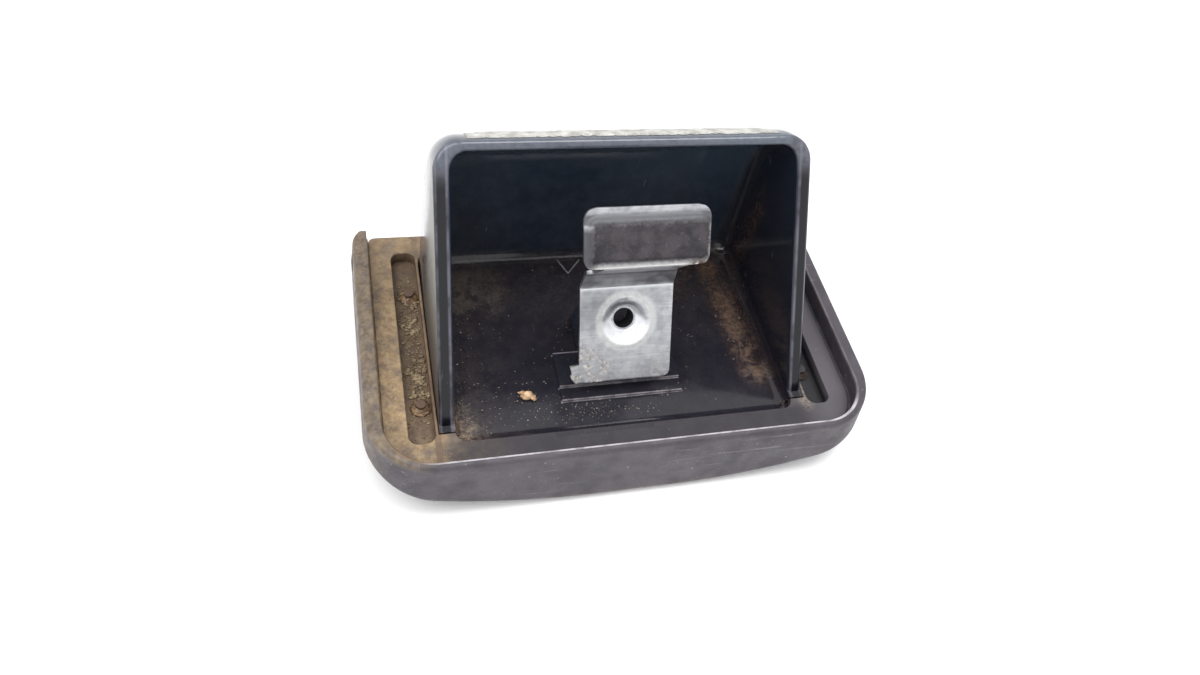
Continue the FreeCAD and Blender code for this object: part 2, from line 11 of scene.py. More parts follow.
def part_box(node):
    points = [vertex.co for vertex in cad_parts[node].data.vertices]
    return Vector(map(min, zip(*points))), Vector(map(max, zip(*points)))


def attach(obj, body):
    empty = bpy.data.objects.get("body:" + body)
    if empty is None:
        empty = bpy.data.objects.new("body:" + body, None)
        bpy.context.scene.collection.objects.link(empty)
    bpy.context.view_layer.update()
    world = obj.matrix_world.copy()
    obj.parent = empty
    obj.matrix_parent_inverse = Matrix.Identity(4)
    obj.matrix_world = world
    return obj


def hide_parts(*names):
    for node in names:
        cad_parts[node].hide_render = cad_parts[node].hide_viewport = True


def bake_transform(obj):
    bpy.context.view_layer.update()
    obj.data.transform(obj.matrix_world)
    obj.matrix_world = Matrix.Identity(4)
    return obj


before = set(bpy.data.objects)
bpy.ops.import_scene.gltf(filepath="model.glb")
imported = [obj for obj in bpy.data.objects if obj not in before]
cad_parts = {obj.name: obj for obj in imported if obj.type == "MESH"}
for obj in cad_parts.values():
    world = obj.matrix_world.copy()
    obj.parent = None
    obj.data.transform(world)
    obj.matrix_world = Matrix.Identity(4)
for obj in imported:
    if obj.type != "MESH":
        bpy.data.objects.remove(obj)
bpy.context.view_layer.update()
scene = bpy.context.scene
random.seed(7)

# ---- sizes in mm
MM = 0.001


def millimetres(node):
    """A node's lowest and highest corner in mm."""
    low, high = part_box(node)
    return Vector(low) / MM, Vector(high) / MM


COVER = millimetres("front_cover")
FRAME = millimetres("carrier_frame")
BIN = millimetres("ash_bin")
PLATE = millimetres("stubber_bracket")
DISH = millimetres("stubber_dish")
STRIP = millimetres("rattle_strip")
LEDGE_Z = FRAME[1].z

PANEL_HALF_X, PANEL_NEAR_Y = 55.0, -31.7  # the panel's outline at ledge level
WALL_T, NEAR_WALL_T, FRAME_GAP = 3.2, 1.6, 0.65  # its rim wall, and the parting gap beside it
INNER_R = 10.5  # the near corners inside the rim wall
POCKET_FLOOR_Z = 9.7
HATCH_PITCH = 0.9  # moulded hatch on the near ledge

FLOOR_Z = 10.2  # the bin's floor
BIN_SIDE_WALL = 3.2
SIDE_TAPER = 1.5 / 44.3  # its sides lean in this much per mm of height
BACK_CENTRE, BACK_R = Vector((7.3, 36.7)), 22.0  # its rounded back, centre in (y, z)
MOUTH_FOOT_Y = -19.1  # where its slanted mouth meets the ledge
MOUTH_ANGLE = math.radians(53.0)
PAD_HALF_X = 13.8  # the stepped pad on its floor
PAD_EDGES_Y = ((-14.8, -14.3), (-11.5, -11.05), (-2.7, -2.2))

# the stubber's path in (y, z): foot, flexing bend, second bend, bottom and top of the dish
FOOT = (PLATE[0].y, 14.3)
FOLD = (-1.2, 31.7)
BEND = (-1.65, 36.7)
DISH_LOW = (DISH[0].y, 44.9)
DISH_TILT = math.radians(54.3)
DISH_LENGTH = 11.8
DISH_TOP = (DISH_LOW[0] + DISH_LENGTH * math.cos(DISH_TILT), DISH_LOW[1] + DISH_LENGTH * math.sin(DISH_TILT))
STUBBER = (FOOT, FOLD, BEND, DISH_LOW, DISH_TOP)
BEND_RADII = (1.3, 0.9, 0.8)
PLATE_HALF, RISER_HALF, NECK_HALF, DISH_HALF = 10.1, 9.7, 8.4, 12.6
PLATE_CORNER, DISH_CORNER = 1.5, 2.5
TAB_W, TAB_H = 1.8, 4.1  # the small foot tab
SHEET_T = 0.8
HOLE_AT, HOLE_R = 13.3, 2.45  # the rivet's hole, up the plate from its foot
DIMPLE_R, DIMPLE_FLOOR_R, DIMPLE_DEPTH = 5.3, 2.4, 2.3
FACE_MIDDLE, FACE_HALF_UP, FACE_HALF_X = 5.7, 3.6, 11.3  # the raised stubbing face, up the dish
FACE_CORNER, FACE_RAISE = 1.1, 1.1
FLAT_PLACE = "rest_place"  # the sheet's points as built, stored so that its marks stay in place if it flexes

RIVET_BORE_R, RIVET_SHANK_R = 2.15, 2.5
RIVET_LENGTH = 6.2  # from the plate's front face to the back of the washer


def distance_along(count):
    """Distance along the stubber's path of its corner number count."""
    return sum((Vector(b) - Vector(a)).length for a, b in zip(STUBBER[:count], STUBBER[1:count + 1]))


S_FOLD, S_BEND, S_DISH, S_TOP = [distance_along(count) for count in (1, 2, 3, 4)]


def rivet_axis():
    """The rivet's centre on the plate's front face, and the way out of the plate."""
    up = (Vector(FOLD) - Vector(FOOT)).normalized()
    at = Vector(FOOT) + up * HOLE_AT
    return Vector((0.0, at.x, at.y)), Vector((0.0, -up.y, up.x))


# ---- camera, floor and light
def add_object(name, data):
    added = bpy.data.objects.new(name, data)
    scene.collection.objects.link(added)
    return added


CAMERA_AT = (-51.96, -108.95, 166.59)
CAMERA_RIGHT = (0.9643, -0.2095, 0.1620)
CAMERA_FORWARD = (0.2539, 0.5580, -0.7900)
LENS = 26.03
SENSOR = 36.0
SKY = (0.97, 0.985, 1.0, 1.0)
SKY_STRENGTH = 0.95
LAMPS = {  # place and size in metres, and power in watts
    "key": ((-0.35, -0.1, 0.75), 0.7, 4.5),
    "overhead": ((0.17, -0.01, 0.65), 0.3, 1.9),
}
FLOOR_REACH = 3.0  # in metres


def make_camera():
    data = bpy.data.cameras.new("camera")
    data.sensor_width = SENSOR
    data.lens = LENS
    data.clip_start = 0.005
    camera = add_object("camera", data)
    forward = Vector(CAMERA_FORWARD).normalized()
    right = Vector(CAMERA_RIGHT)
    right = (right - forward * right.dot(forward)).normalized()
    up = right.cross(forward)
    turn = Matrix((right, up, -forward)).transposed()
    camera.matrix_world = Matrix.Translation(Vector(CAMERA_AT) * MM) @ turn.to_4x4()
    scene.camera = camera


def make_light():
    world = bpy.data.worlds.new("studio")
    world.use_nodes = True
    background = world.node_tree.nodes["Background"]
    background.inputs["Color"].default_value = SKY
    background.inputs["Strength"].default_value = SKY_STRENGTH
    scene.world = world
    for name, (place, size, power) in LAMPS.items():
        data = bpy.data.lights.new(name, "AREA")
        data.size = size
        data.energy = power
        lamp = add_object(name, data)
        lamp.location = place
        lamp.rotation_euler = (-Vector(place)).to_track_quat("-Z", "Y").to_euler()


def make_floor():
    corners = [(x * FLOOR_REACH, y * FLOOR_REACH, 0.0) for x, y in ((-1, -1), (1, -1), (1, 1), (-1, 1))]
    mesh = bpy.data.meshes.new("floor")
    mesh.from_pydata(corners, [], [(0, 1, 2, 3)])
    floor = add_object("floor", mesh)
    look = Look("floor")
    grain = look.step(look.noise(60.0, 2), 0.3, 0.7)
    look.colour(look.blend(grain, tone(246, 245, 244), tone(250, 249, 249)))
    look.rough(0.7)
    mesh.materials.append(look.material)


# ---- node materials
def tone(red, green, blue):
    """Linear colour of a 0-255 screen colour."""
    def linear(value):
        value /= 255.0
        return value / 12.92 if value <= 0.04045 else ((value + 0.055) / 1.055) ** 2.4
    return (linear(red), linear(green), linear(blue), 1.0)


class Look:
    """Builder for one procedural material. Lengths are mm in the object's own space, or as stored in a mesh
    attribute, so that the marks on a sheet stay in place while it bends."""

    def __init__(self, name, attribute=None):
        self.material = bpy.data.materials.new(name)
        self.material.use_nodes = True
        self.tree = self.material.node_tree
        self.shader = self.tree.nodes["Principled BSDF"]
        if attribute:
            stored = self.node("Attribute")
            stored.attribute_name = attribute
            place = stored.outputs["Vector"]
        else:
            place = self.node("TexCoord").outputs["Object"]
        self.place = self.vector("SCALE", place, scale=1.0 / MM)
        self.x, self.y, self.z = self.node("SeparateXYZ", Vector=self.place).outputs

    def node(self, kind, **inputs):
        """A new node with its inputs set or linked."""
        node = self.tree.nodes.new("ShaderNode" + kind)
        for name, value in inputs.items():
            self.put(node.inputs[name.replace("_", " ")], value)
        return node

    def put(self, socket, value):
        if isinstance(value, bpy.types.NodeSocket):
            self.tree.links.new(value, socket)
        else:
            socket.default_value = value

    def vector(self, operation, a, b=None, scale=None):
        node = self.node("VectorMath")
        node.operation = operation
        self.put(node.inputs[0], a)
        if b is not None:
            self.put(node.inputs[1], b)
        if scale is not None:
            self.put(node.inputs["Scale"], scale)
        return node.outputs["Value" if operation in ("LENGTH", "DOT_PRODUCT") else "Vector"]

    def maths(self, operation, a, b=0.0):
        node = self.node("Math")
        node.operation = operation
        self.put(node.inputs[0], a)
        self.put(node.inputs[1], b)
        return node.outputs[0]

    def chain(self, operation, values):
        result = values[0]
        for value in values[1:]:
            result = self.maths(operation, result, value)
        return result

    def times(self, *values):
        return self.chain("MULTIPLY", values)

    def most(self, *values):
        return self.chain("MAXIMUM", values)

    def plus(self, a, b):
        return self.maths("ADD", a, b)

    def step(self, value, low, high, start=0.0, end=1.0):
        """Smooth change from start to end while value goes from low to high."""
        node = self.node("MapRange", Value=value, From_Min=low, From_Max=high, To_Min=start, To_Max=end)
        node.interpolation_type = "SMOOTHSTEP"
        return node.outputs["Result"]

    def noise(self, size, detail=4.0, rough=0.55, stretch=(1.0, 1.0, 1.0), warp=0.0, shift=0.0):
        """Noise with features of about size mm, longer along the axes stretched by more than 1."""
        squeeze = tuple(1.0 / (size * amount) for amount in stretch)
        place = self.vector("MULTIPLY", self.place, squeeze)
        place = self.vector("ADD", place, (shift, shift * 0.7, shift * 1.3))
        node = self.node("TexNoise", Vector=place, Scale=1.0, Detail=detail, Roughness=rough, Distortion=warp)
        return node.outputs["Fac"]

    def cells(self, size, shift=0.0):
        """Distance to the nearest of points spread about size mm apart, in units of that size."""
        place = self.vector("SCALE", self.place, scale=1.0 / size)
        place = self.vector("ADD", place, (shift, shift, shift))
        return self.node("TexVoronoi", Vector=place, Scale=1.0).outputs["Distance"]

    def blend(self, amount, a, b):
        node = self.node("Mix")
        node.data_type = "RGBA"
        self.put(node.inputs[0], amount)
        self.put(node.inputs[6], a)
        self.put(node.inputs[7], b)
        return node.outputs[2]

    def blob(self, centre, radii, soft=0.5):
        """1 inside an ellipsoid, fading to 0 at its surface."""
        away = self.vector("SUBTRACT", self.place, centre)
        away = self.vector("DIVIDE", away, radii)
        return self.step(self.vector("LENGTH", away), 1.0 - soft, 1.0, 1.0, 0.0)

    def slab(self, value, low, high, soft):
        """1 while value is between low and high, with soft edges."""
        above = self.step(value, low - soft, low + soft)
        return self.times(above, self.step(value, high - soft, high + soft, 1.0, 0.0))

    def streak(self, start, end, width, soft=0.6):
        """1 along the straight line between two points, fading to 0 at width from it."""
        start, end = Vector(start), Vector(end)
        run = end - start
        away = self.vector("SUBTRACT", self.place, tuple(start))
        along = self.vector("DOT_PRODUCT", away, tuple(run / run.length_squared))
        held = self.node("Clamp", Value=along).outputs[0]
        nearest = self.node("CombineXYZ")
        for socket, amount in zip(nearest.inputs, run):
            self.put(socket, self.times(held, amount))
        gap = self.vector("LENGTH", self.vector("SUBTRACT", away, nearest.outputs[0]))
        return self.step(gap, width * (1.0 - soft), width, 1.0, 0.0)

    def radius(self, at, out):
        """Distance from the line through at, along out."""
        away = self.vector("SUBTRACT", self.place, tuple(at))
        return self.vector("LENGTH", self.vector("CROSS_PRODUCT", away, tuple(out)))

    def beyond_ledge(self):
        """Distance outwards from the foot of the rim wall's inner face, negative over the ledge."""
        side = self.plus(self.maths("ABSOLUTE", self.x), INNER_R - PANEL_HALF_X + WALL_T)
        near = self.plus(self.maths("MULTIPLY", self.y, -1.0), INNER_R + PANEL_NEAR_Y + NEAR_WALL_T)
        corner = self.node("CombineXYZ", X=self.most(side, 0.0), Y=self.most(near, 0.0))
        return self.plus(self.vector("LENGTH", corner.outputs[0]), -INNER_R)

    def colour(self, value):
        self.put(self.shader.inputs["Base Color"], value)

    def specular(self, level):
        self.put(self.shader.inputs["Specular IOR Level"], level)

    def metallic(self, value):
        self.put(self.shader.inputs["Metallic"], value)

    def rough(self, value):
        self.put(self.shader.inputs["Roughness"], value)

    def bump(self, height, depth, below=None):
        """Relief depth mm high from a 0-1 height; below is an earlier relief's normal."""
        node = self.node("Bump", Strength=1.0, Distance=depth * MM, Height=height)
        if below is not None:
            self.put(node.inputs["Normal"], below)
        self.put(self.shader.inputs["Normal"], node.outputs[0])
        return node.outputs[0]


def speckle(look, size, radius, shift=0.0):
    """Sparse round specks, about size mm apart."""
    sparse = look.step(look.noise(size * 2.0, 1.0, shift=shift + 3.0), 0.5, 0.62)
    return look.times(look.step(look.cells(size, shift), radius * 0.6, radius, 1.0, 0.0), sparse)


def grained_plastic(name, body, light, dust, dust_amount):
    """Matte moulded plastic with fine grain, smudges, scratches and a coat of dust."""
    look = Look(name)
    mottle = look.step(look.noise(9.0, 5.0, 0.65), 0.32, 0.68)
    fine = look.noise(0.5, 3.0, 0.6)
    along_x = look.step(look.noise(0.35, 2.0, 0.4, (40.0, 1.6, 1.6), 0.3, 5.0), 0.66, 0.72)
    along_y = look.step(look.noise(0.4, 2.0, 0.4, (1.4, 30.0, 2.0), 0.3, 9.0), 0.68, 0.74)
    worn = look.step(look.noise(14.0, 2.0, shift=2.0), 0.45, 0.65)
    scratches = look.times(look.most(along_x, along_y), worn, 0.22)
    base = look.blend(mottle, body, light)
    base = look.blend(look.step(fine, 0.3, 0.7, 0.0, 0.18), base, tone(40, 38, 42))
    base = look.blend(scratches, base, tone(165, 160, 160))
    base = look.blend(look.times(speckle(look, 2.6, 0.12, 4.0), 0.35), base, tone(170, 164, 156))
    patch = look.noise(3.5, 6.0, 0.7, shift=11.0)
    amount = look.times(dust_amount(look), look.step(patch, 0.28, 0.6, 0.35, 1.0))
    amount = look.maths("MINIMUM", amount, 1.0)
    dust_tone = look.blend(look.step(look.noise(1.6, 5.0, 0.7, shift=5.0), 0.3, 0.7), dust[0], dust[1])
    base = look.blend(amount, base, dust_tone)
    return look, base, amount, fine, scratches


def cover_dust(look):
    left = look.step(look.x, COVER[0].x + 6.0, COVER[0].x + 1.5)
    left = look.times(left, look.step(look.y, COVER[0].y - 2.0, COVER[0].y + 13.0, 0.05, 1.0), 0.46)
    top = look.step(look.z, COVER[1].z - 2.2, COVER[1].z - 0.5)
    top = look.times(top, look.step(look.x, -40.0, -51.0), 0.8)
    low = look.times(look.step(look.z, 0.5, 4.5, 1.0, 0.0), 0.3)
    return look.most(left, top, low, 0.04)


def cover_look():
    look, base, amount, fine, scratches = grained_plastic(
        "cover plastic", tone(57, 53, 61), tone(75, 70, 78), (tone(90, 75, 56), tone(136, 119, 96)),
        cover_dust)

    # painted highlight along the inner top edge of the rim wall, strongest on the near wall, with brown dust
    # in its place on the left
    edge = look.times(look.slab(look.beyond_ledge(), -0.75, 0.0, 0.1),
                      look.step(look.z, COVER[1].z - 1.0, COVER[1].z - 0.5),
                      look.step(look.noise(3.0, 4.0), 0.3, 0.6, 0.35, 0.9),
                      look.step(look.y, -23.0, -28.0, 0.15, 1.0))
    rim_highlight_and_dust_tone = look.blend(look.step(look.x, -38.0, -46.0), tone(190, 184, 190), tone(112, 92, 70))
    base = look.blend(edge, base, rim_highlight_and_dust_tone)

    # the studs in the pockets, rusty on the left and darkened with painted shade on the right
    studs = look.times(look.step(look.beyond_ledge(), -2.0, -3.0),
                       look.step(look.z, LEDGE_Z - 4.0, LEDGE_Z - 3.5), 0.75)
    stud_rust_and_shade_tone = look.blend(look.step(look.x, -20.0, 20.0), tone(96, 70, 52), tone(40, 36, 38))
    look.colour(look.blend(studs, base, stud_rust_and_shade_tone))

    look.rough(look.step(look.noise(4.0, 4.0, shift=8.0), 0.3, 0.7, 0.42, 0.62))
    relief = look.bump(look.noise(0.7, 3.0, 0.6, shift=1.0), 0.05)
    relief = look.bump(fine, 0.02, relief)
    look.bump(look.maths("SUBTRACT", amount, scratches), 0.04, relief)
    look.specular(0.45)
    return look.material


def frame_dust(look):
    left = look.step(look.x, -36.0, -41.0)
    near_left = look.blob((-41.0, -27.0, LEDGE_Z), (22.0, 11.0, 6.0), 0.8)
    return look.most(left, look.times(near_left, 0.6), 0.06)


def frame_look():
    look, base, amount, fine, scratches = grained_plastic(
        "frame plastic", tone(62, 58, 65), tone(75, 71, 78), (tone(134, 110, 80), tone(172, 148, 114)),
        frame_dust)

    # the near ledge is darker, the right one paler, and the far end of the left one less dusty
    near = look.times(look.step(look.beyond_ledge(), -8.4, -6.4), look.step(look.y, -19.0, -22.0))
    near = look.times(near, look.step(look.x, -44.0, -34.0, 0.25, 1.0))
    base = look.blend(look.times(near, 0.8), base, tone(42, 39, 46))
    base = look.blend(look.times(look.step(look.x, 36.0, 46.0), 0.7), base, tone(92, 88, 94))
    far = look.times(look.step(look.y, 4.0, 30.0), look.step(look.x, -38.0, -41.0), 0.45)
    base = look.blend(far, base, tone(104, 88, 72))

    # painted shade in the pockets, darker with depth: brown with dirt on the left and nearly black on the
    # right
    pocket_shade_and_dirt = look.step(look.z, LEDGE_Z - 0.8, LEDGE_Z - 2.4)
    pocket_shade_and_dirt = look.times(pocket_shade_and_dirt, look.step(look.x, -20.0, 20.0, 0.62, 0.9))
    pocket_shade_and_dirt_tone = look.blend(look.step(look.x, -20.0, 20.0), tone(62, 46, 38), tone(18, 17, 21))
    base = look.blend(pocket_shade_and_dirt, base, pocket_shade_and_dirt_tone)

    # dirt against the bin's left side, and at the foot of its right side
    beside_bin = look.times(look.slab(look.x, -41.4, -40.0, 0.2), look.step(look.y, 24.0, -20.0, 0.3, 0.7))
    base = look.blend(beside_bin, base, tone(96, 76, 62))
    foot_dust = look.blob((40.6, -20.5, LEDGE_Z), (2.6, 5.0, 4.0), 0.7)
    foot_dust = look.times(foot_dust, look.step(fine, 0.35, 0.6), 0.7)
    base = look.blend(foot_dust, base, tone(132, 120, 106))

    # dirt in the parting gap
    parting = look.step(look.beyond_ledge(), -FRAME_GAP - 0.35, -FRAME_GAP + 0.1)
    parting = look.times(parting, look.step(look.noise(2.5, 4.0, shift=3.0), 0.3, 0.6, 0.3, 0.8))
    parting_tone = look.blend(look.step(look.x, -44.0, -49.0), tone(58, 54, 60), tone(104, 82, 60))
    look.colour(look.blend(parting, base, parting_tone))

    look.rough(look.step(look.noise(4.0, 4.0, shift=8.0), 0.3, 0.7, 0.45, 0.68))
    # fine moulded hatch on the near edge of the ledge
    hatch = look.maths("SINE", look.times(look.x, 2.0 * math.pi / HATCH_PITCH))
    patch = look.times(look.slab(look.x, -17.0, 4.0, 0.3), look.slab(look.y, -24.2, -22.9, 0.15))
    relief = look.bump(look.times(look.step(hatch, -0.4, 0.4), patch), 0.16)
    relief = look.bump(look.noise(0.7, 3.0, 0.6, shift=1.0), 0.05, relief)
    relief = look.bump(fine, 0.02, relief)
    look.bump(look.maths("SUBTRACT", amount, scratches), 0.12, relief)
    look.specular(0.4)
    return look.material


def ash_dust(look, inside, floor, near_corner, grime):
    """Grey ash in the bin, thickest in its near left corner."""
    powder = look.noise(0.28, 3.0, 0.7, shift=8.0)
    back_patch = look.blob((-31.0, 17.0, FLOOR_Z), (17.0, 14.0, 12.0), 0.95)
    left_floor = look.times(look.step(look.x, -16.0, -36.0), floor, look.step(look.y, 2.0, 20.0, 0.25, 0.6))
    all_floor = look.times(floor, look.step(look.y, -6.0, 22.0, 0.06, 0.2))
    dust = look.most(near_corner, back_patch, left_floor, all_floor)
    return look.times(dust, look.step(grime, 0.34, 0.64, 0.25, 1.0),
                      look.step(powder, 0.35, 0.6, 0.45, 1.0), inside)


def tar_crust(look, inside):
    """Brown tar: a streak down the right of the floor, and patches behind it and on the right wall."""
    tar = look.most(
        look.streak((29.8, 25.5, FLOOR_Z), (31.2, 3.0, FLOOR_Z), 5.0, 0.95),
        look.times(look.streak((31.2, 3.0, FLOOR_Z), (32.4, -12.0, FLOOR_Z), 5.4, 0.95), 0.9),
        look.times(look.streak((36.9, 19.0, 33.5), (36.9, 21.0, 15.0), 5.5, 0.9), 0.45),
        look.times(look.blob((16.0, 16.0, FLOOR_Z), (12.0, 8.0, 4.0), 0.8), 0.35),
        look.times(look.blob((22.0, 22.0, FLOOR_Z + 3.0), (9.0, 9.0, 7.0), 0.8), 0.6),
    )
    clumps = look.times(look.step(look.noise(4.0, 6.0, 0.7, shift=9.0, warp=0.6), 0.36, 0.6, 0.12, 1.0),
                        look.step(look.noise(1.0, 4.0, 0.75, shift=19.0), 0.32, 0.62, 0.55, 1.0))
    return look.times(tar, clumps, inside, 1.1)


def ash_specks(look, inside, floor, near_corner):
    """Pale specks along the near edge of the bin's floor and scattered over the rest."""
    sprinkled = look.most(look.blob((-8.0, -17.0, FLOOR_Z), (20.0, 5.0, 3.0), 0.6), near_corner,
                          look.times(floor, look.step(look.noise(9.0, 2.0, shift=13.0), 0.5, 0.7), 0.6))
    specks = look.most(speckle(look, 0.9, 0.2), speckle(look, 1.5, 0.16, 5.0))
    return look.times(specks, inside, sprinkled, 0.8)


def floor_scratches_and_highlights(look):
    """Marks on the bin's floor: a scratched arrowhead, and painted highlights along the edges of the stepped
    pad.
    """
    arrow = look.most(
        look.streak((-7.3, 25.4, FLOOR_Z), (-5.4, 21.1, FLOOR_Z), 0.32, 0.8),
        look.streak((-5.4, 21.1, FLOOR_Z), (-1.9, 25.0, FLOOR_Z), 0.28, 0.8),
    )
    arrow = look.times(arrow, look.step(look.noise(1.1, 3.0, shift=21.0), 0.35, 0.6, 0.35, 1.0))
    # painted highlights along the edges of the stepped pad
    edges = look.most(*[look.slab(look.y, low, high, 0.12) for low, high in PAD_EDGES_Y])
    edges = look.times(edges, look.slab(look.x, -PAD_HALF_X, PAD_HALF_X, 0.2),
                       look.step(look.z, FLOOR_Z + 1.4, FLOOR_Z + 1.1),
                       look.step(look.noise(2.2, 4.0, shift=17.0), 0.3, 0.6, 0.25, 0.75))
    return arrow, edges


def mouth_marks(look):
    """The mouth's top rim with a painted highlight, its dark side rims, painted highlights along them, and a
    dust film with a painted reflection on the outer sides.
    """
    across = look.plus(look.times(look.plus(look.y, -MOUTH_FOOT_Y), math.sin(MOUTH_ANGLE)),
                       look.times(look.plus(look.z, -LEDGE_Z), -math.cos(MOUTH_ANGLE)))
    on_rim = look.step(across, 1.1, 0.25)
    # painted highlight along the top rim of the mouth, broken up by noise
    top_rim_highlight = look.times(on_rim, look.step(look.z, BIN[1].z - 7.0, BIN[1].z - 2.5),
                         look.step(look.noise(1.4, 4.0, 0.6, shift=3.0), 0.3, 0.62, 0.6, 1.0))

    # distance outwards from the tapered outer side
    outwards = look.plus(look.maths("ABSOLUTE", look.x), -BIN[1].x)
    outwards = look.plus(outwards, look.times(look.plus(look.z, -LEDGE_Z), SIDE_TAPER))
    side_rim = look.step(outwards, 0.15 - BIN_SIDE_WALL, 0.5 - BIN_SIDE_WALL)
    side_rim = look.times(side_rim, look.step(look.z, BIN[1].z - 2.0, BIN[1].z - 6.0),
                          look.step(outwards, -0.12, -0.3))
    # painted highlights: thin bright bands along the inner and outer edges of the side rims
    rim_highlights = look.most(look.slab(outwards, 0.25 - BIN_SIDE_WALL, 0.75 - BIN_SIDE_WALL, 0.2),
                      look.times(look.slab(outwards, -0.75, -0.35, 0.15), 0.7))
    rim_highlights = look.times(rim_highlights, on_rim, look.step(look.noise(5.0, 4.0, 0.6, shift=23.0), 0.3, 0.65, 0.08, 0.4))
    # dust film on the outer sides, with a painted reflection of the bright surroundings
    dust_film_and_reflection = look.times(look.step(outwards, -0.3, -0.1), look.step(look.y, 22.0, 6.0),
                      look.step(look.x, -30.0, 30.0, 1.0, 0.35),
                      look.step(look.noise(2.0, 6.0, 0.7, shift=25.0), 0.3, 0.6, 0.5, 0.85))
    return top_rim_highlight, side_rim, rim_highlights, dust_film_and_reflection


def bin_look():
    look = Look("bin resin")
    side_x = BIN[1].x - BIN_SIDE_WALL + 0.2
    inside = look.times(look.slab(look.x, -side_x, side_x, 0.15),
                        look.step(look.y, BIN[1].y - 2.2, BIN[1].y - 3.6))
    floor = look.step(look.z, FLOOR_Z + 3.0, FLOOR_Z + 0.4)
    grime = look.noise(5.0, 7.0, 0.72, shift=2.0)
    fine = look.noise(0.8, 5.0, 0.7, shift=6.0)
    near_corner = look.blob((-38.0, -20.0, FLOOR_Z), (13.0, 12.0, 10.0), 0.85)
    dust = ash_dust(look, inside, floor, near_corner, grime)
    tar = tar_crust(look, inside)
    specks = ash_specks(look, inside, floor, near_corner)
    arrow, pad_edge_highlights = floor_scratches_and_highlights(look)
    top_rim_highlight, side_rim, rim_highlights, dust_film_and_reflection = mouth_marks(look)
    scratch = look.step(look.noise(0.3, 2.0, 0.4, (1.6, 12.0, 12.0), 0.4, 4.0), 0.68, 0.74)
    scratch = look.times(scratch, look.step(look.noise(11.0, 2.0, shift=7.0), 0.5, 0.65), 0.4)

    base = look.blend(look.step(grime, 0.3, 0.7), tone(38, 45, 57), tone(50, 57, 70))
    # painted reflection: a blue-grey tint on the upper inside of the bin
    teal_reflection = look.times(look.step(look.z, 24.0, 44.0), look.step(look.x, -10.0, 30.0, 0.3, 0.85))
    base = look.blend(look.times(teal_reflection, inside), base, tone(52, 66, 80))
    # painted shade: the right inner wall is darkened nearly to black
    right_wall_shade = look.times(look.step(look.x, 33.0, 35.0), inside)
    base = look.blend(look.times(right_wall_shade, 0.85), base, tone(24, 24, 31))
    base = look.blend(look.times(floor, 0.75), base, tone(29, 23, 28))
    dust_tone = look.blend(look.step(fine, 0.3, 0.7), tone(66, 56, 52), tone(112, 98, 86))
    corner_tone = look.blend(look.step(fine, 0.4, 0.62), tone(66, 50, 44), tone(136, 118, 98))
    base = look.blend(dust, base, look.blend(near_corner, dust_tone, corner_tone))
    base = look.blend(tar, base, look.blend(look.step(fine, 0.35, 0.65), tone(62, 43, 34), tone(108, 84, 66)))
    base = look.blend(look.times(side_rim, 0.95), base, tone(10, 9, 13))
    # painted highlights along the side rims
    base = look.blend(rim_highlights, base, tone(138, 134, 148))
    # dust film and painted reflection on the outer sides, paler higher up
    dust_film_and_reflection_tone = look.blend(look.step(look.z, 16.0, 50.0), tone(96, 86, 74), tone(158, 155, 148))
    base = look.blend(dust_film_and_reflection, base, dust_film_and_reflection_tone)
    base = look.blend(specks, base, tone(160, 148, 130))
    base = look.blend(scratch, base, tone(92, 92, 98))
    base = look.blend(look.times(arrow, 0.7), base, tone(150, 146, 146))
    # painted highlights along the pad's edges
    base = look.blend(pad_edge_highlights, base, tone(142, 136, 142))
    # painted highlight on the top rim
    base = look.blend(look.times(top_rim_highlight, 0.5), base, tone(116, 117, 126))
    look.colour(base)

    film = look.most(dust, tar, specks, arrow, look.times(scratch, 0.8), dust_film_and_reflection)
    smear = look.step(look.noise(6.0, 5.0, 0.6, (1.0, 1.0, 2.5), 0.4, 12.0), 0.35, 0.7, 0.05, 0.14)
    look.rough(look.maths("MINIMUM", look.plus(smear, look.times(film, 0.6)), 0.85))
    relief = look.bump(look.noise(7.0, 2.0, 0.4, shift=15.0), 0.08)
    relief = look.bump(film, 0.05, relief)
    look.bump(fine, 0.006, relief)
    look.specular(0.55)
    return look.material


def zinc_look(name, tint=1.0, attribute=None):
    """Zinc-plated spring steel: streaky and faintly spangled."""
    look = Look(name, attribute)
    spangle = look.step(look.noise(2.2, 4.0, 0.6, shift=4.0), 0.32, 0.68)
    brushed = look.noise(0.25, 3.0, 0.5, (22.0, 1.0, 1.0), 0.0, 2.0)
    dark, light = tone(178 * tint, 178 * tint, 183 * tint), tone(210 * tint, 210 * tint, 213 * tint)
    base = look.blend(spangle, dark, light)
    base = look.blend(look.step(brushed, 0.35, 0.7, 0.0, 0.25), base, tone(120, 120, 126))
    look.metallic(0.9)
    return look, base, brushed, spangle


def foot_stain(look):
    """Ash caked on the plate's foot, most of it on the left."""
    stain = look.most(look.blob((-9.5, *FOOT), (11.0, 12.0, 15.0), 0.85),
                      look.times(look.blob((9.0, *FOOT), (8.0, 6.0, 6.0), 0.9), 0.5))
    return look.times(stain, look.step(look.noise(2.2, 6.0, 0.72, shift=28.0), 0.42, 0.6), 0.85)


def dimple_marks(look, ash):
    """A painted highlight in the lower half of the dimple, and a halo round it."""
    at, out = rivet_axis()
    ring = look.radius(at, out)
    crescent_highlight = look.times(look.slab(ring, 2.3, DIMPLE_R, 0.3), look.step(look.z, at.z + 0.6, at.z - 1.2))
    halo = look.slab(ring, DIMPLE_R - 0.3, DIMPLE_R + 1.4, 0.5)
    return crescent_highlight, look.times(halo, look.step(ash, 0.3, 0.7, 0.3, 0.7))


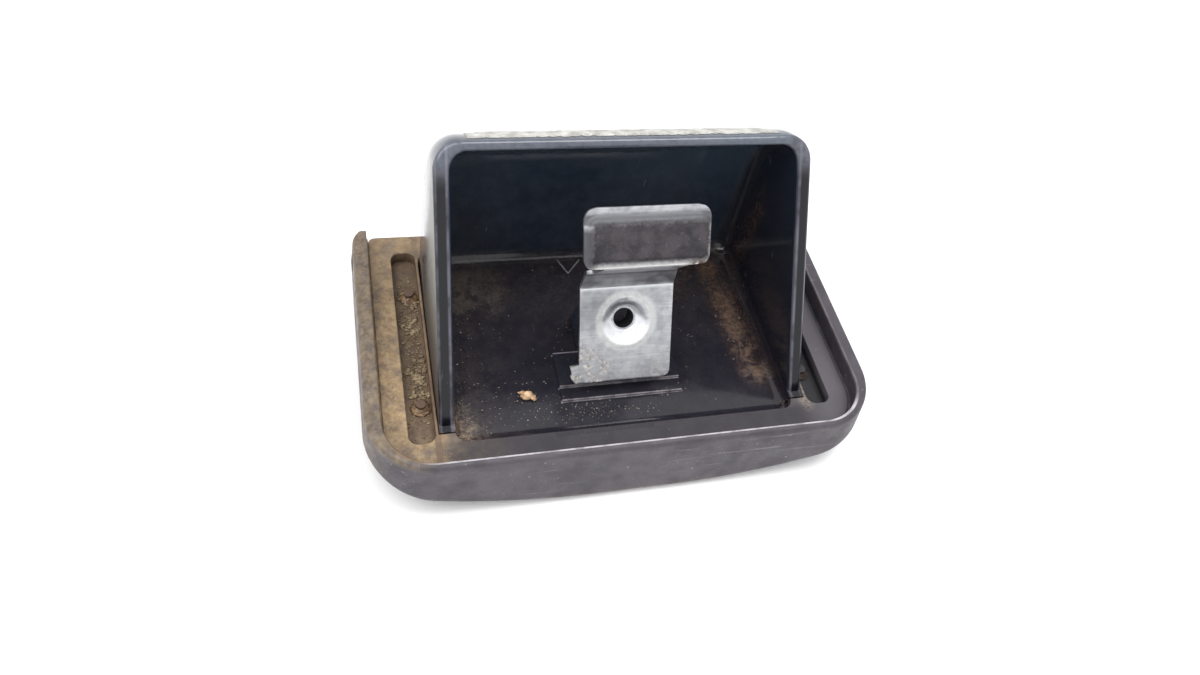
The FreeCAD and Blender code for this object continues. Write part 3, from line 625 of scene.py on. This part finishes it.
def fold_light_and_scorch(look, base, ash):
    """Painted shade on the riser and its upper bend, painted highlights on the fold and the dish's bottom
    bend; one end of the dish's fold is scorched.
    """
    def crease_light(point, width):
        away = look.vector("SUBTRACT", look.place, (0.0, *point))
        away = look.vector("MULTIPLY", away, (0.0, 1.0, 1.0))
        return look.step(look.vector("LENGTH", away), width * 0.3, width, 1.0, 0.0)

    # painted shade on the riser
    riser = look.times(look.step(look.z, FOLD[1] + 0.6, FOLD[1] + 1.6),
                       look.step(look.z, DISH_LOW[1] - 0.6, DISH_LOW[1] - 1.8))
    base = look.blend(look.times(riser, 0.35), base, tone(96, 96, 102))
    # painted highlights on the fold and the dish's bottom bend, painted shade on the bend above the riser
    base = look.blend(look.times(crease_light(FOLD, 0.9), 0.6), base, tone(232, 232, 235))
    base = look.blend(look.times(crease_light(BEND, 0.8), 0.5), base, tone(60, 60, 66))
    base = look.blend(look.times(crease_light(DISH_LOW, 1.5), 0.8), base, tone(238, 236, 234))
    scorch = look.blob((10.5, *DISH_LOW), (3.6, 2.0, 2.0), 0.9)
    return look.blend(look.times(scorch, look.step(ash, 0.35, 0.55)), base, tone(84, 58, 40))


def dish_marks(look):
    """Masks of the dish: its dull margin, the slope up to the stubbing face, and the burnt face itself."""
    run = Vector((0.0, DISH_TOP[0] - DISH_LOW[0], DISH_TOP[1] - DISH_LOW[1])).normalized()
    away = look.vector("SUBTRACT", look.place, (0.0, *DISH_LOW))
    up = look.vector("DOT_PRODUCT", away, tuple(run))
    ragged = look.times(look.plus(look.noise(1.0, 5.0, 0.7, shift=14.0), -0.5), 1.6)
    on_dish = look.step(look.z, DISH_LOW[1] - 0.5, DISH_LOW[1] + 0.5)
    margin = look.times(on_dish, look.step(up, 9.0, 7.0), look.step(look.x, -9.0, -11.5, 0.35, 1.0))
    slope = look.times(on_dish, look.slab(up, 8.4, 10.6, 0.5))
    burnt = look.times(
        look.slab(look.plus(look.x, ragged), -11.2, 12.5, 0.6),
        look.slab(look.plus(up, ragged), 0.9, 9.0, 0.8),
        on_dish,
    )
    return margin, slope, burnt


def stubber_look():
    """The sheet's finish: bright plate, stained foot, painted highlights and shade on the plate, folds,
    dimple and dish, and a burnt stubbing face.
    """
    look, base, brushed, spangle = zinc_look("stubber steel", 1.0, FLAT_PLACE)
    ash = look.noise(1.3, 6.0, 0.7, shift=8.0)
    stain = foot_stain(look)
    crescent_highlight, halo = dimple_marks(look, ash)
    margin, slope, burnt = dish_marks(look)

    stain_tone = look.blend(look.step(look.noise(0.8, 5.0, 0.7, shift=16.0), 0.42, 0.58),
                            tone(104, 94, 82), tone(206, 200, 190))
    base = look.blend(stain, base, stain_tone)
    shade = look.blob((-7.5, -4.0, 27.5), (9.0, 6.0, 8.0), 0.9)
    base = look.blend(look.times(shade, 0.45), base, tone(96, 96, 102))
    # painted highlight in the lower half of the dimple
    base = look.blend(look.times(crescent_highlight, look.step(ash, 0.3, 0.6, 0.5, 0.9)), base, tone(240, 241, 244))
    base = look.blend(halo, base, tone(232, 232, 228))
    base = fold_light_and_scorch(look, base, ash)
    # the dish's margin is darker; the slope up to the stubbing face is darkened with painted shade that damps
    # its highlight
    dull_margin_and_shaded_slope = look.most(look.times(margin, 0.9), look.times(slope, 0.8))
    base = look.blend(dull_margin_and_shaded_slope, base, tone(76, 76, 80))
    cloud = look.noise(3.2, 5.0, 0.6, shift=18.0, warp=0.25)
    soot = look.blend(look.step(cloud, 0.35, 0.65), tone(31, 29, 33), tone(58, 54, 58))
    soot = look.blend(look.step(ash, 0.4, 0.7, 0.0, 0.35), soot, tone(70, 58, 60))
    pale_grains = look.step(look.noise(0.5, 3.0, shift=6.0), 0.62, 0.72, 0.0, 0.4)
    soot = look.blend(pale_grains, soot, tone(104, 98, 96))
    look.colour(look.blend(look.times(burnt, 0.96), base, soot))

    dull = look.most(look.times(burnt, 0.4), look.times(slope, 0.3), look.times(margin, 0.2),
                     look.times(crescent_highlight, 0.12))
    look.rough(look.maths("MINIMUM", look.plus(look.step(spangle, 0.0, 1.0, 0.3, 0.42), dull), 0.8))
    dirty = look.most(burnt, stain, look.times(crescent_highlight, 0.85))
    look.metallic(look.step(dirty, 0.0, 1.0, 0.9, 0.0))
    relief = look.bump(brushed, 0.006)
    relief = look.bump(ash, 0.03, relief)
    look.bump(burnt, 0.06, relief)
    look.specular(0.2)
    return look.material


def rivet_look():
    """Bright plating, with painted shade making the inside of the bore black."""
    look, base, brushed, spangle = zinc_look("rivet steel", 1.05)
    # painted shade: the inside of the bore is painted black
    soot = look.step(look.radius(*rivet_axis()), 2.32, 2.2)
    mark = look.step(look.noise(0.9, 5.0, 0.7, shift=3.0), 0.5, 0.66, 0.0, 0.5)
    base = look.blend(mark, base, tone(120, 112, 104))
    look.colour(look.blend(soot, base, tone(14, 18, 24)))
    look.rough(look.most(look.step(spangle, 0.0, 1.0, 0.22, 0.36), look.times(soot, 0.9)))
    look.metallic(look.step(soot, 0.0, 1.0, 0.9, 0.0))
    look.bump(brushed, 0.006)
    return look.material


def nut_look():
    look = Look("push nut steel")
    rust = look.step(look.noise(0.9, 6.0, 0.75, shift=2.0), 0.38, 0.6)
    base = look.blend(rust, tone(92, 84, 76), tone(96, 64, 40))
    # painted shade: the nuts in the right pocket are darkened nearly to black
    base = look.blend(look.step(look.x, -10.0, 10.0, 0.0, 0.85), base, tone(30, 27, 28))
    dust = look.times(look.step(look.noise(0.6, 5.0, 0.7, shift=7.0), 0.45, 0.62),
                      look.step(look.x, -10.0, 10.0, 1.0, 0.1))
    look.colour(look.blend(dust, base, tone(150, 124, 92)))
    look.rough(look.step(rust, 0.0, 1.0, 0.45, 0.8))
    look.metallic(look.step(look.most(rust, dust), 0.0, 1.0, 0.8, 0.1))
    look.bump(look.noise(0.35, 4.0, 0.7), 0.05)
    return look.material


def felt_look():
    look = Look("felt")
    fibre = look.noise(0.22, 4.0, 0.65, (5.0, 1.0, 1.0), 1.2)
    clump = look.step(look.noise(2.4, 4.0, 0.6, shift=5.0), 0.3, 0.7)
    base = look.blend(clump, tone(150, 148, 142), tone(206, 204, 198))
    look.colour(look.blend(look.step(fibre, 0.4, 0.7, 0.0, 0.45), base, tone(96, 92, 84)))
    look.rough(look.step(fibre, 0.0, 1.0, 0.85, 1.0))
    look.bump(fibre, 0.2)
    look.shader.inputs["Sheen Weight"].default_value = 0.3
    return look.material


def crumb_look(name, dark, light):
    look = Look(name)
    grain = look.step(look.noise(0.45, 4.0, 0.7), 0.3, 0.7)
    tint = look.step(look.noise(2.6, 3.0, 0.6, shift=6.0), 0.35, 0.65)
    base = look.blend(grain, dark, light)
    look.colour(look.blend(look.times(tint, 0.6), base, tone(70, 54, 42)))
    look.rough(look.step(grain, 0.0, 1.0, 0.95, 0.8))
    look.bump(look.noise(0.2, 4.0, 0.7), 0.08)
    return look.material


# ---- pieces
def link(name, mesh, material, body, stands_for=()):
    """Add a piece with its body and the CAD nodes that it stands for."""
    piece = add_object(name, mesh)
    mesh.materials.clear()
    mesh.materials.append(material)
    if body:
        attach(piece, body)
    if stands_for:
        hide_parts(*stands_for)
    return piece


def finished(bm, name):
    """The mesh of a bmesh that is no longer needed."""
    mesh = bpy.data.meshes.new(name)
    bm.to_mesh(mesh)
    bm.free()
    return mesh


def baked(mesh, modifiers):
    """The mesh with modifiers applied: a list of (type, settings)."""
    holder = add_object("holder", mesh)
    for kind, settings in modifiers:
        modifier = holder.modifiers.new(kind.lower(), kind)
        for key, value in settings.items():
            setattr(modifier, key, value)
    graph = bpy.context.evaluated_depsgraph_get()
    result = bpy.data.meshes.new_from_object(holder.evaluated_get(graph))
    bpy.data.objects.remove(holder)
    result.name = mesh.name + "_mesh"
    return result


def smooth(mesh, angle):
    """Shade a mesh smooth but for edges sharper than angle degrees."""
    mesh.shade_smooth()
    bm = bmesh.new()
    bm.from_mesh(mesh)
    for edge in bm.edges:
        if len(edge.link_faces) == 2 and edge.calc_face_angle() > math.radians(angle):
            edge.smooth = False
    bm.to_mesh(mesh)
    bm.free()


def ease(value, low, high):
    """0 below low, 1 above high, smooth between."""
    t = min(max((value - low) / (high - low), 0.0), 1.0)
    return t * t * (3.0 - 2.0 * t)


def rounded_path(points, radii, pitch):
    """(place, direction, distance) every pitch along a (y, z) polyline with rounded corners."""
    points = [Vector(point) for point in points]
    stations = []
    travelled = 0.0
    start = points[0]
    start_s = 0.0
    for index in range(1, len(points)):
        corner = points[index]
        leg = corner - points[index - 1]
        length = leg.length
        way = leg.normalized()
        last = index == len(points) - 1
        if last:
            trim = 0.0
        else:
            onward = (points[index + 1] - corner).normalized()
            turn = way.angle(onward)
            trim = radii[index - 1] * math.tan(turn / 2.0)
        end = corner - way * trim
        end_s = travelled + length - trim
        count = max(2, round((end - start).length / pitch))
        for step in range(count + (1 if last else 0)):
            t = step / count
            stations.append((start.lerp(end, t), way, start_s + (end_s - start_s) * t))
        if not last:
            radius = radii[index - 1]
            steps = max(4, round(radius * turn / (pitch * 0.5)))
            out = corner + onward * trim
            for step in range(steps):
                t = step / steps
                a, b = end.lerp(corner, t), corner.lerp(out, t)
                stations.append((a.lerp(b, t), way.lerp(onward, t).normalized(), end_s + 2.0 * trim * t))
            start = out
            start_s = end_s + 2.0 * trim
        travelled += length
    return stations


def corner_inset(distance, radius):
    """How far a rounded corner pulls the side in, at a distance from the end."""
    if distance >= radius:
        return 0.0
    return radius - math.sqrt(max(radius ** 2 - (radius - distance) ** 2, 0.0))


def stubber_half_widths(s):
    """Left and right half width of the sheet at a distance along its path: plate, riser, neck and dish."""
    if s < S_FOLD:
        torn_edge = TAB_W + 0.15 * math.sin(s * 2.0)
        left = PLATE_HALF + torn_edge * (1.0 - ease(s, TAB_H - 0.25, TAB_H + 0.05))
        left -= 0.9 * (1.0 - ease(s, 0.0, 1.6))
        return left, PLATE_HALF - corner_inset(s, PLATE_CORNER)
    if s < S_BEND:
        side = PLATE_HALF + (RISER_HALF - PLATE_HALF) * (s - S_FOLD) / (S_BEND - S_FOLD)
        return side, side
    if s < S_DISH - 0.3:
        side = RISER_HALF + (NECK_HALF - RISER_HALF) * ease(s, S_BEND, S_BEND + 0.9)
        return side, side
    along = s - S_DISH
    side = DISH_HALF - corner_inset(max(along + 0.3, 0.0), DISH_CORNER)
    side -= corner_inset(S_TOP - s, DISH_CORNER)
    side = min(side, NECK_HALF + (DISH_HALF - NECK_HALF) * ease(along, -0.3, 0.5) ** 0.7)
    return side, side


def stubber_relief(x, s):
    """Height of the sheet's front face above its path: the drawn dimple and the raised stubbing face."""
    if s < S_FOLD:
        r = math.hypot(x, s - HOLE_AT)
        slope = min(max((r - DIMPLE_FLOOR_R) / (DIMPLE_R - DIMPLE_FLOOR_R), 0.0), 1.0)
        height = -DIMPLE_DEPTH * (1.0 - 0.55 * slope - 0.45 * ease(r, DIMPLE_FLOOR_R, DIMPLE_R))
        height += 0.12 * math.exp(-((r - DIMPLE_R - 0.2) / 0.5) ** 2)
        # a curl of metal stands up inside the dimple's upper right side
        around = math.atan2(s - HOLE_AT, x)
        curl = ease(around, -0.15, 0.25) * (1.0 - ease(around, 1.2, 2.0))
        return height + 0.55 * curl * math.exp(-((r - 4.3) / 0.5) ** 2)
    if s > S_DISH:
        away_x = max(abs(x) - (FACE_HALF_X - FACE_CORNER), 0.0)
        away_up = max(abs(s - S_DISH - FACE_MIDDLE) - (FACE_HALF_UP - FACE_CORNER), 0.0)
        return FACE_RAISE * (1.0 - ease(math.hypot(away_x, away_up) - FACE_CORNER, 0.0, 1.0))
    return 0.0


def stubber_sheet():
    """Base plate, riser and dish as one sheet that bends at the fold."""
    pitch = 0.32
    rows = rounded_path(STUBBER, BEND_RADII, pitch)
    columns = 76
    bm = bmesh.new()
    grid = []
    for point, way, s in rows:
        left, right = stubber_half_widths(s)
        out = Vector((-way.y, way.x))
        row = []
        for column in range(columns + 1):
            x = -left + (left + right) * column / columns
            lift = stubber_relief(x, s) + 0.03 * noise.noise(Vector((x * 0.25, s * 0.25, 3.0)))
            place = point + out * lift
            row.append(bm.verts.new(Vector((x, place.x, place.y)) * MM))
        grid.append(row)
    for row, following, (_, _, s) in zip(grid, grid[1:], rows):
        for i in range(columns):
            corners = (row[i], row[i + 1], following[i + 1], following[i])
            middle_x = sum(corner.co.x for corner in corners) / 4 / MM
            if math.hypot(middle_x, s + pitch / 2.0 - HOLE_AT) > HOLE_R:
                bm.faces.new(corners)
    for vert in [vert for vert in bm.verts if not vert.link_faces]:
        bm.verts.remove(vert)
    mesh = baked(finished(bm, "stubber_sheet"), [
        ("SOLIDIFY", {"thickness": SHEET_T * MM, "offset": -1.0}),
        ("BEVEL", {"width": 0.1 * MM, "segments": 2, "limit_method": "ANGLE",
                   "angle_limit": math.radians(55.0)}),
    ])
    smooth(mesh, 50.0)
    stored = mesh.attributes.new(FLAT_PLACE, "FLOAT_VECTOR", "POINT")
    for vert in mesh.vertices:
        stored.data[vert.index].vector = vert.co
    piece = link("stubber_sheet", mesh, stubber_look(), None,
                 ("stubber_bracket", "stubber_dish"))
    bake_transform(piece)


def lathe(profile, origin, axis, steps=64):
    """Closed ring of revolution: (radius, height) points about an axis through origin, in mm."""
    axis = axis.normalized()
    side = axis.orthogonal().normalized()
    other = axis.cross(side)
    bm = bmesh.new()
    rings = []
    for step in range(steps):
        angle = 2.0 * math.pi * step / steps
        spoke = side * math.cos(angle) + other * math.sin(angle)
        rings.append([bm.verts.new((origin + spoke * r + axis * h) * MM) for r, h in profile])
    for step in range(steps):
        ring, following = rings[step], rings[(step + 1) % steps]
        for index in range(len(profile)):
            after = (index + 1) % len(profile)
            bm.faces.new((ring[index], following[index], following[after], ring[after]))
    bmesh.ops.recalc_face_normals(bm, faces=bm.faces)
    return finished(bm, "lathe")


def rivet():
    """Hollow rivet: thin rolled flange on the dimple's floor, shank, and the rolled end behind."""
    head, end = -DIMPLE_DEPTH, -RIVET_LENGTH
    flange = [(RIVET_BORE_R, head), (2.2, head + 0.1), (2.35, head + 0.16), (2.7, head + 0.14),
              (2.9, head + 0.04), (2.85, head - 0.06), (RIVET_SHANK_R, head - 0.1)]
    rolled_end = [(RIVET_SHANK_R, end), (3.2, end), (3.45, end - 0.12), (3.45, end - 0.38), (3.2, end - 0.5),
                  (2.4, end - 0.5), (2.2, end - 0.4), (RIVET_BORE_R, end - 0.2)]
    mesh = lathe(flange + rolled_end, *rivet_axis())
    smooth(mesh, 50.0)
    link("hollow_rivet", mesh, rivet_look(), "tray", ("stubber_rivet",))


def felt_strip():
    """Ragged felt strip round the bin's back shoulder."""
    low, high = math.radians(50.0), math.radians(66.5)
    half = STRIP[1].x
    across, along = 26, 420
    bm = bmesh.new()
    sheets = []
    for inner in (True, False):
        grid = []
        for i in range(along + 1):
            x = -half + 2.0 * half * i / along
            fray_low = 0.7 * noise.fractal(Vector((x * 0.5, 1.0, 0.0)), 0.8, 2.0, 5)
            fray_high = 1.0 * noise.fractal(Vector((x * 0.45, 7.0, 0.0)), 0.8, 2.0, 5)
            row = []
            for j in range(across + 1):
                t = j / across
                edge = min(t, 1.0 - t) * across
                start, end = low + abs(fray_low) / BACK_R, high - abs(fray_high) / BACK_R
                angle = start + (end - start) * t
                nap = 0.16 * noise.noise(Vector((x * 1.1, angle * BACK_R * 1.1, 4.0)))
                thick = 0.32 * ease(edge, -0.2, 2.6) * ease(min(i, along - i), -0.5, 24.0) + nap * 0.5
                r = BACK_R + (0.02 if inner else max(thick, 0.08))
                y, z = BACK_CENTRE.x + r * math.cos(angle), BACK_CENTRE.y + r * math.sin(angle)
                row.append(bm.verts.new(Vector((x, y, z)) * MM))
            grid.append(row)
        sheets.append(grid)
    for grid, flip in zip(sheets, (True, False)):
        for i in range(along):
            for j in range(across):
                corners = [grid[i][j], grid[i + 1][j], grid[i + 1][j + 1], grid[i][j + 1]]
                bm.faces.new(corners[::-1] if flip else corners)
    inner, outer = sheets
    rims = [([row[j] for row in inner], [row[j] for row in outer]) for j in (0, -1)]
    rims += [(inner[i], outer[i]) for i in (0, -1)]
    for below, above in rims:
        for i in range(len(below) - 1):
            bm.faces.new((below[i], below[i + 1], above[i + 1], above[i]))
    bmesh.ops.recalc_face_normals(bm, faces=bm.faces)
    mesh = finished(bm, "felt_strip")
    smooth(mesh, 60.0)
    link("felt_strip", mesh, felt_look(), "tray", ("rattle_strip",))


def grains(name, spots, material, subdivisions=1):
    """Irregular grains at ((x, y, z) mm, size mm) spots, as one piece of dirt."""
    bm = bmesh.new()
    for (x, y, z), size in spots:
        turn = Matrix.Rotation(random.uniform(0, 6.3), 4, Vector((random.random(), random.random(), 1.0)))
        shape = Matrix.Diagonal((random.uniform(0.7, 1.5), random.uniform(0.5, 1.1),
                                 random.uniform(0.35, 0.8), 1.0))
        made = bmesh.ops.create_icosphere(bm, subdivisions=subdivisions, radius=size * 0.5 * MM,
                                          matrix=Matrix.Identity(4))
        seed = random.uniform(0, 50)
        for vert in made["verts"]:
            rumple = 1.0 + 0.5 * noise.noise(vert.co / (size * 0.45 * MM) + Vector((seed, 0, 0)))
            vert.co = Vector((x, y, z)) * MM + shape @ (turn @ (vert.co * rumple))
    mesh = finished(bm, name)
    mesh.shade_smooth()
    link(name, mesh, material, "tray")


def scatter(heaps, z):
    """Seeded spots of heaps that thin outwards: (count, (x, y), spread in x and y, height above z, sizes)."""
    spots = []
    for count, centre, spread, lift, sizes in heaps:
        for _ in range(count):
            x = random.gauss(centre[0], spread[0])
            y = random.gauss(centre[1], spread[1])
            spots.append(((x, y, z + lift), random.uniform(*sizes)))
    return spots


def kept(spots, x, y):
    """The spots inside the ranges x and y."""
    return [spot for spot in spots if x[0] < spot[0][0] < x[1] and y[0] < spot[0][1] < y[1]]


def u_outline(inset, pitch=1.2):
    """Points round the ledge from far left to far right, inset from the foot of the rim wall."""
    radius = INNER_R - inset
    corner_steps = 16
    centre = Vector((PANEL_HALF_X - WALL_T - INNER_R, PANEL_NEAR_Y + NEAR_WALL_T + INNER_R))
    half, near = centre.x + radius, centre.y - radius
    far = FRAME[1].y - 0.1
    points = []
    count = round((far - centre.y) / pitch)
    points += [Vector((half, centre.y + (far - centre.y) * (1.0 - i / count))) for i in range(count)]
    points += [centre + Vector((radius * math.cos(a), -radius * math.sin(a)))
               for a in (math.pi / 2.0 * i / corner_steps for i in range(corner_steps))]
    count = round(centre.x / pitch)
    points += [Vector((centre.x * (1.0 - i / count), near)) for i in range(count + 1)]
    left = [Vector((-point.x, point.y)) for point in points]
    return left + points[-2::-1]


def packed_dust():
    """Dust packed in the parting gap between the rim wall and the frame's ledge."""
    outer, inner = u_outline(-0.05), u_outline(FRAME_GAP + 0.05)
    bm = bmesh.new()
    rings = []
    for a, b in zip(outer, inner):
        middle = a.lerp(b, 0.5)
        rumple = 0.12 * noise.noise(Vector((a.x * 0.6, a.y * 0.6, 0.0)))
        top = LEDGE_Z - 0.28 + rumple
        ring = [(a, top - 1.0), (a, top + 0.06), (middle, top + 0.02), (b, top), (b, top - 1.0)]
        rings.append([bm.verts.new(Vector((point.x, point.y, z)) * MM) for point, z in ring])
    for ring, following in zip(rings, rings[1:]):
        for i in range(len(ring)):
            j = (i + 1) % len(ring)
            bm.faces.new((ring[i], following[i], following[j], ring[j]))
    bm.faces.new(rings[0])
    bm.faces.new(rings[-1][::-1])
    bmesh.ops.recalc_face_normals(bm, faces=bm.faces)
    mesh = finished(bm, "packed_dust")
    smooth(mesh, 50.0)
    link("packed_dust", mesh, FINISHES["carrier_frame"], "tray")


POCKET_HEAPS = (
    (260, (-43.2, 8.5), (1.1, 3.4), 0.1, (0.15, 0.6)),
    (320, (-43.0, -4.5), (1.1, 2.6), 0.1, (0.15, 0.6)),
    (150, (-43.2, -12.6), (1.7, 1.8), 0.1, (0.15, 0.6)),
    (110, (-43.2, 16.9), (1.7, 1.6), 0.1, (0.15, 0.6)),
    (200, (-43.6, 0.0), (1.5, 14.0), 0.1, (0.15, 0.6)),
    (46, (-43.0, -4.0), (1.0, 2.2), 0.2, (0.7, 1.5)),
    (34, (-43.2, 8.5), (1.0, 2.8), 0.2, (0.6, 1.4)),
    (16, (-43.2, 15.0), (1.4, 0.6), 0.3, (0.6, 1.2)),
    (20, (-43.2, -10.4), (1.5, 0.7), 0.3, (0.6, 1.3)),
)
LEDGE_HEAPS = (
    (150, (-49.0, 4.0), (1.5, 17.0), 0.02, (0.1, 0.32)),
    (60, (-40.8, -22.0), (3.0, 3.0), 0.02, (0.1, 0.3)),
)
BIN_HEAPS = (
    (150, (-24.0, -14.0), (9.0, 5.0), 0.05, (0.1, 0.36)),
    (110, (-8.0, -17.5), (9.0, 1.6), 0.05, (0.1, 0.36)),
    (60, (-33.0, 2.0), (3.0, 12.0), 0.3, (0.12, 0.45)),
    (40, (30.0, 6.0), (3.0, 9.0), 0.15, (0.12, 0.45)),
)
PALE_CRUMBS = ((-20.9, -12.5, 0.7, 2.6), (-19.6, -13.1, 0.45, 1.5), (-21.9, -11.6, 0.35, 1.2))


def debris():
    """Ash and grit where the insert has collected them."""
    pocket = kept(scatter(POCKET_HEAPS, POCKET_FLOOR_Z), (-46.1, -41.3), (-22.0, 27.2))
    grains("pocket_grit", pocket, crumb_look("grit", tone(104, 86, 66), tone(188, 168, 136)))

    ledge = kept(scatter(LEDGE_HEAPS, LEDGE_Z), (-51.2, -38.2), (-27.0, 31.0))
    over_pocket = kept(ledge, (-46.6, -40.0), (-22.8, 31.0))
    grains("ledge_grit", [spot for spot in ledge if spot not in over_pocket],
           crumb_look("ledge grit", tone(134, 114, 88), tone(190, 170, 140)))

    floor = kept(scatter(BIN_HEAPS, FLOOR_Z), (-34.8, 34.8), (-19.6, 24.0))
    on_pad = kept(floor, (-14.2, 14.2), (-15.2, 24.0))
    grains("bin_grit", [spot for spot in floor if spot not in on_pad],
           crumb_look("ash grit", tone(96, 86, 76), tone(168, 156, 142)))

    grains("pale_crumb", [((x, y, FLOOR_Z + lift), size) for x, y, lift, size in PALE_CRUMBS],
           crumb_look("pale crumb", tone(206, 160, 116), tone(240, 208, 172)), 3)


# ---- put together
scene.view_settings.view_transform = "Standard"
scene.view_settings.look = "None"
make_camera()
make_light()
make_floor()

FINISHES = {
    "front_cover": cover_look(),
    "carrier_frame": frame_look(),
    "ash_bin": bin_look(),
    "rivet_washer": rivet_look(),
}
nut_finish = nut_look()
for node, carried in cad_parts.items():
    finish = nut_finish if node.startswith("push_nut") else FINISHES.get(node)
    if finish:
        for place in carried.material_slots:
            place.material = finish

stubber_sheet()
rivet()
felt_strip()
packed_dust()
debris()
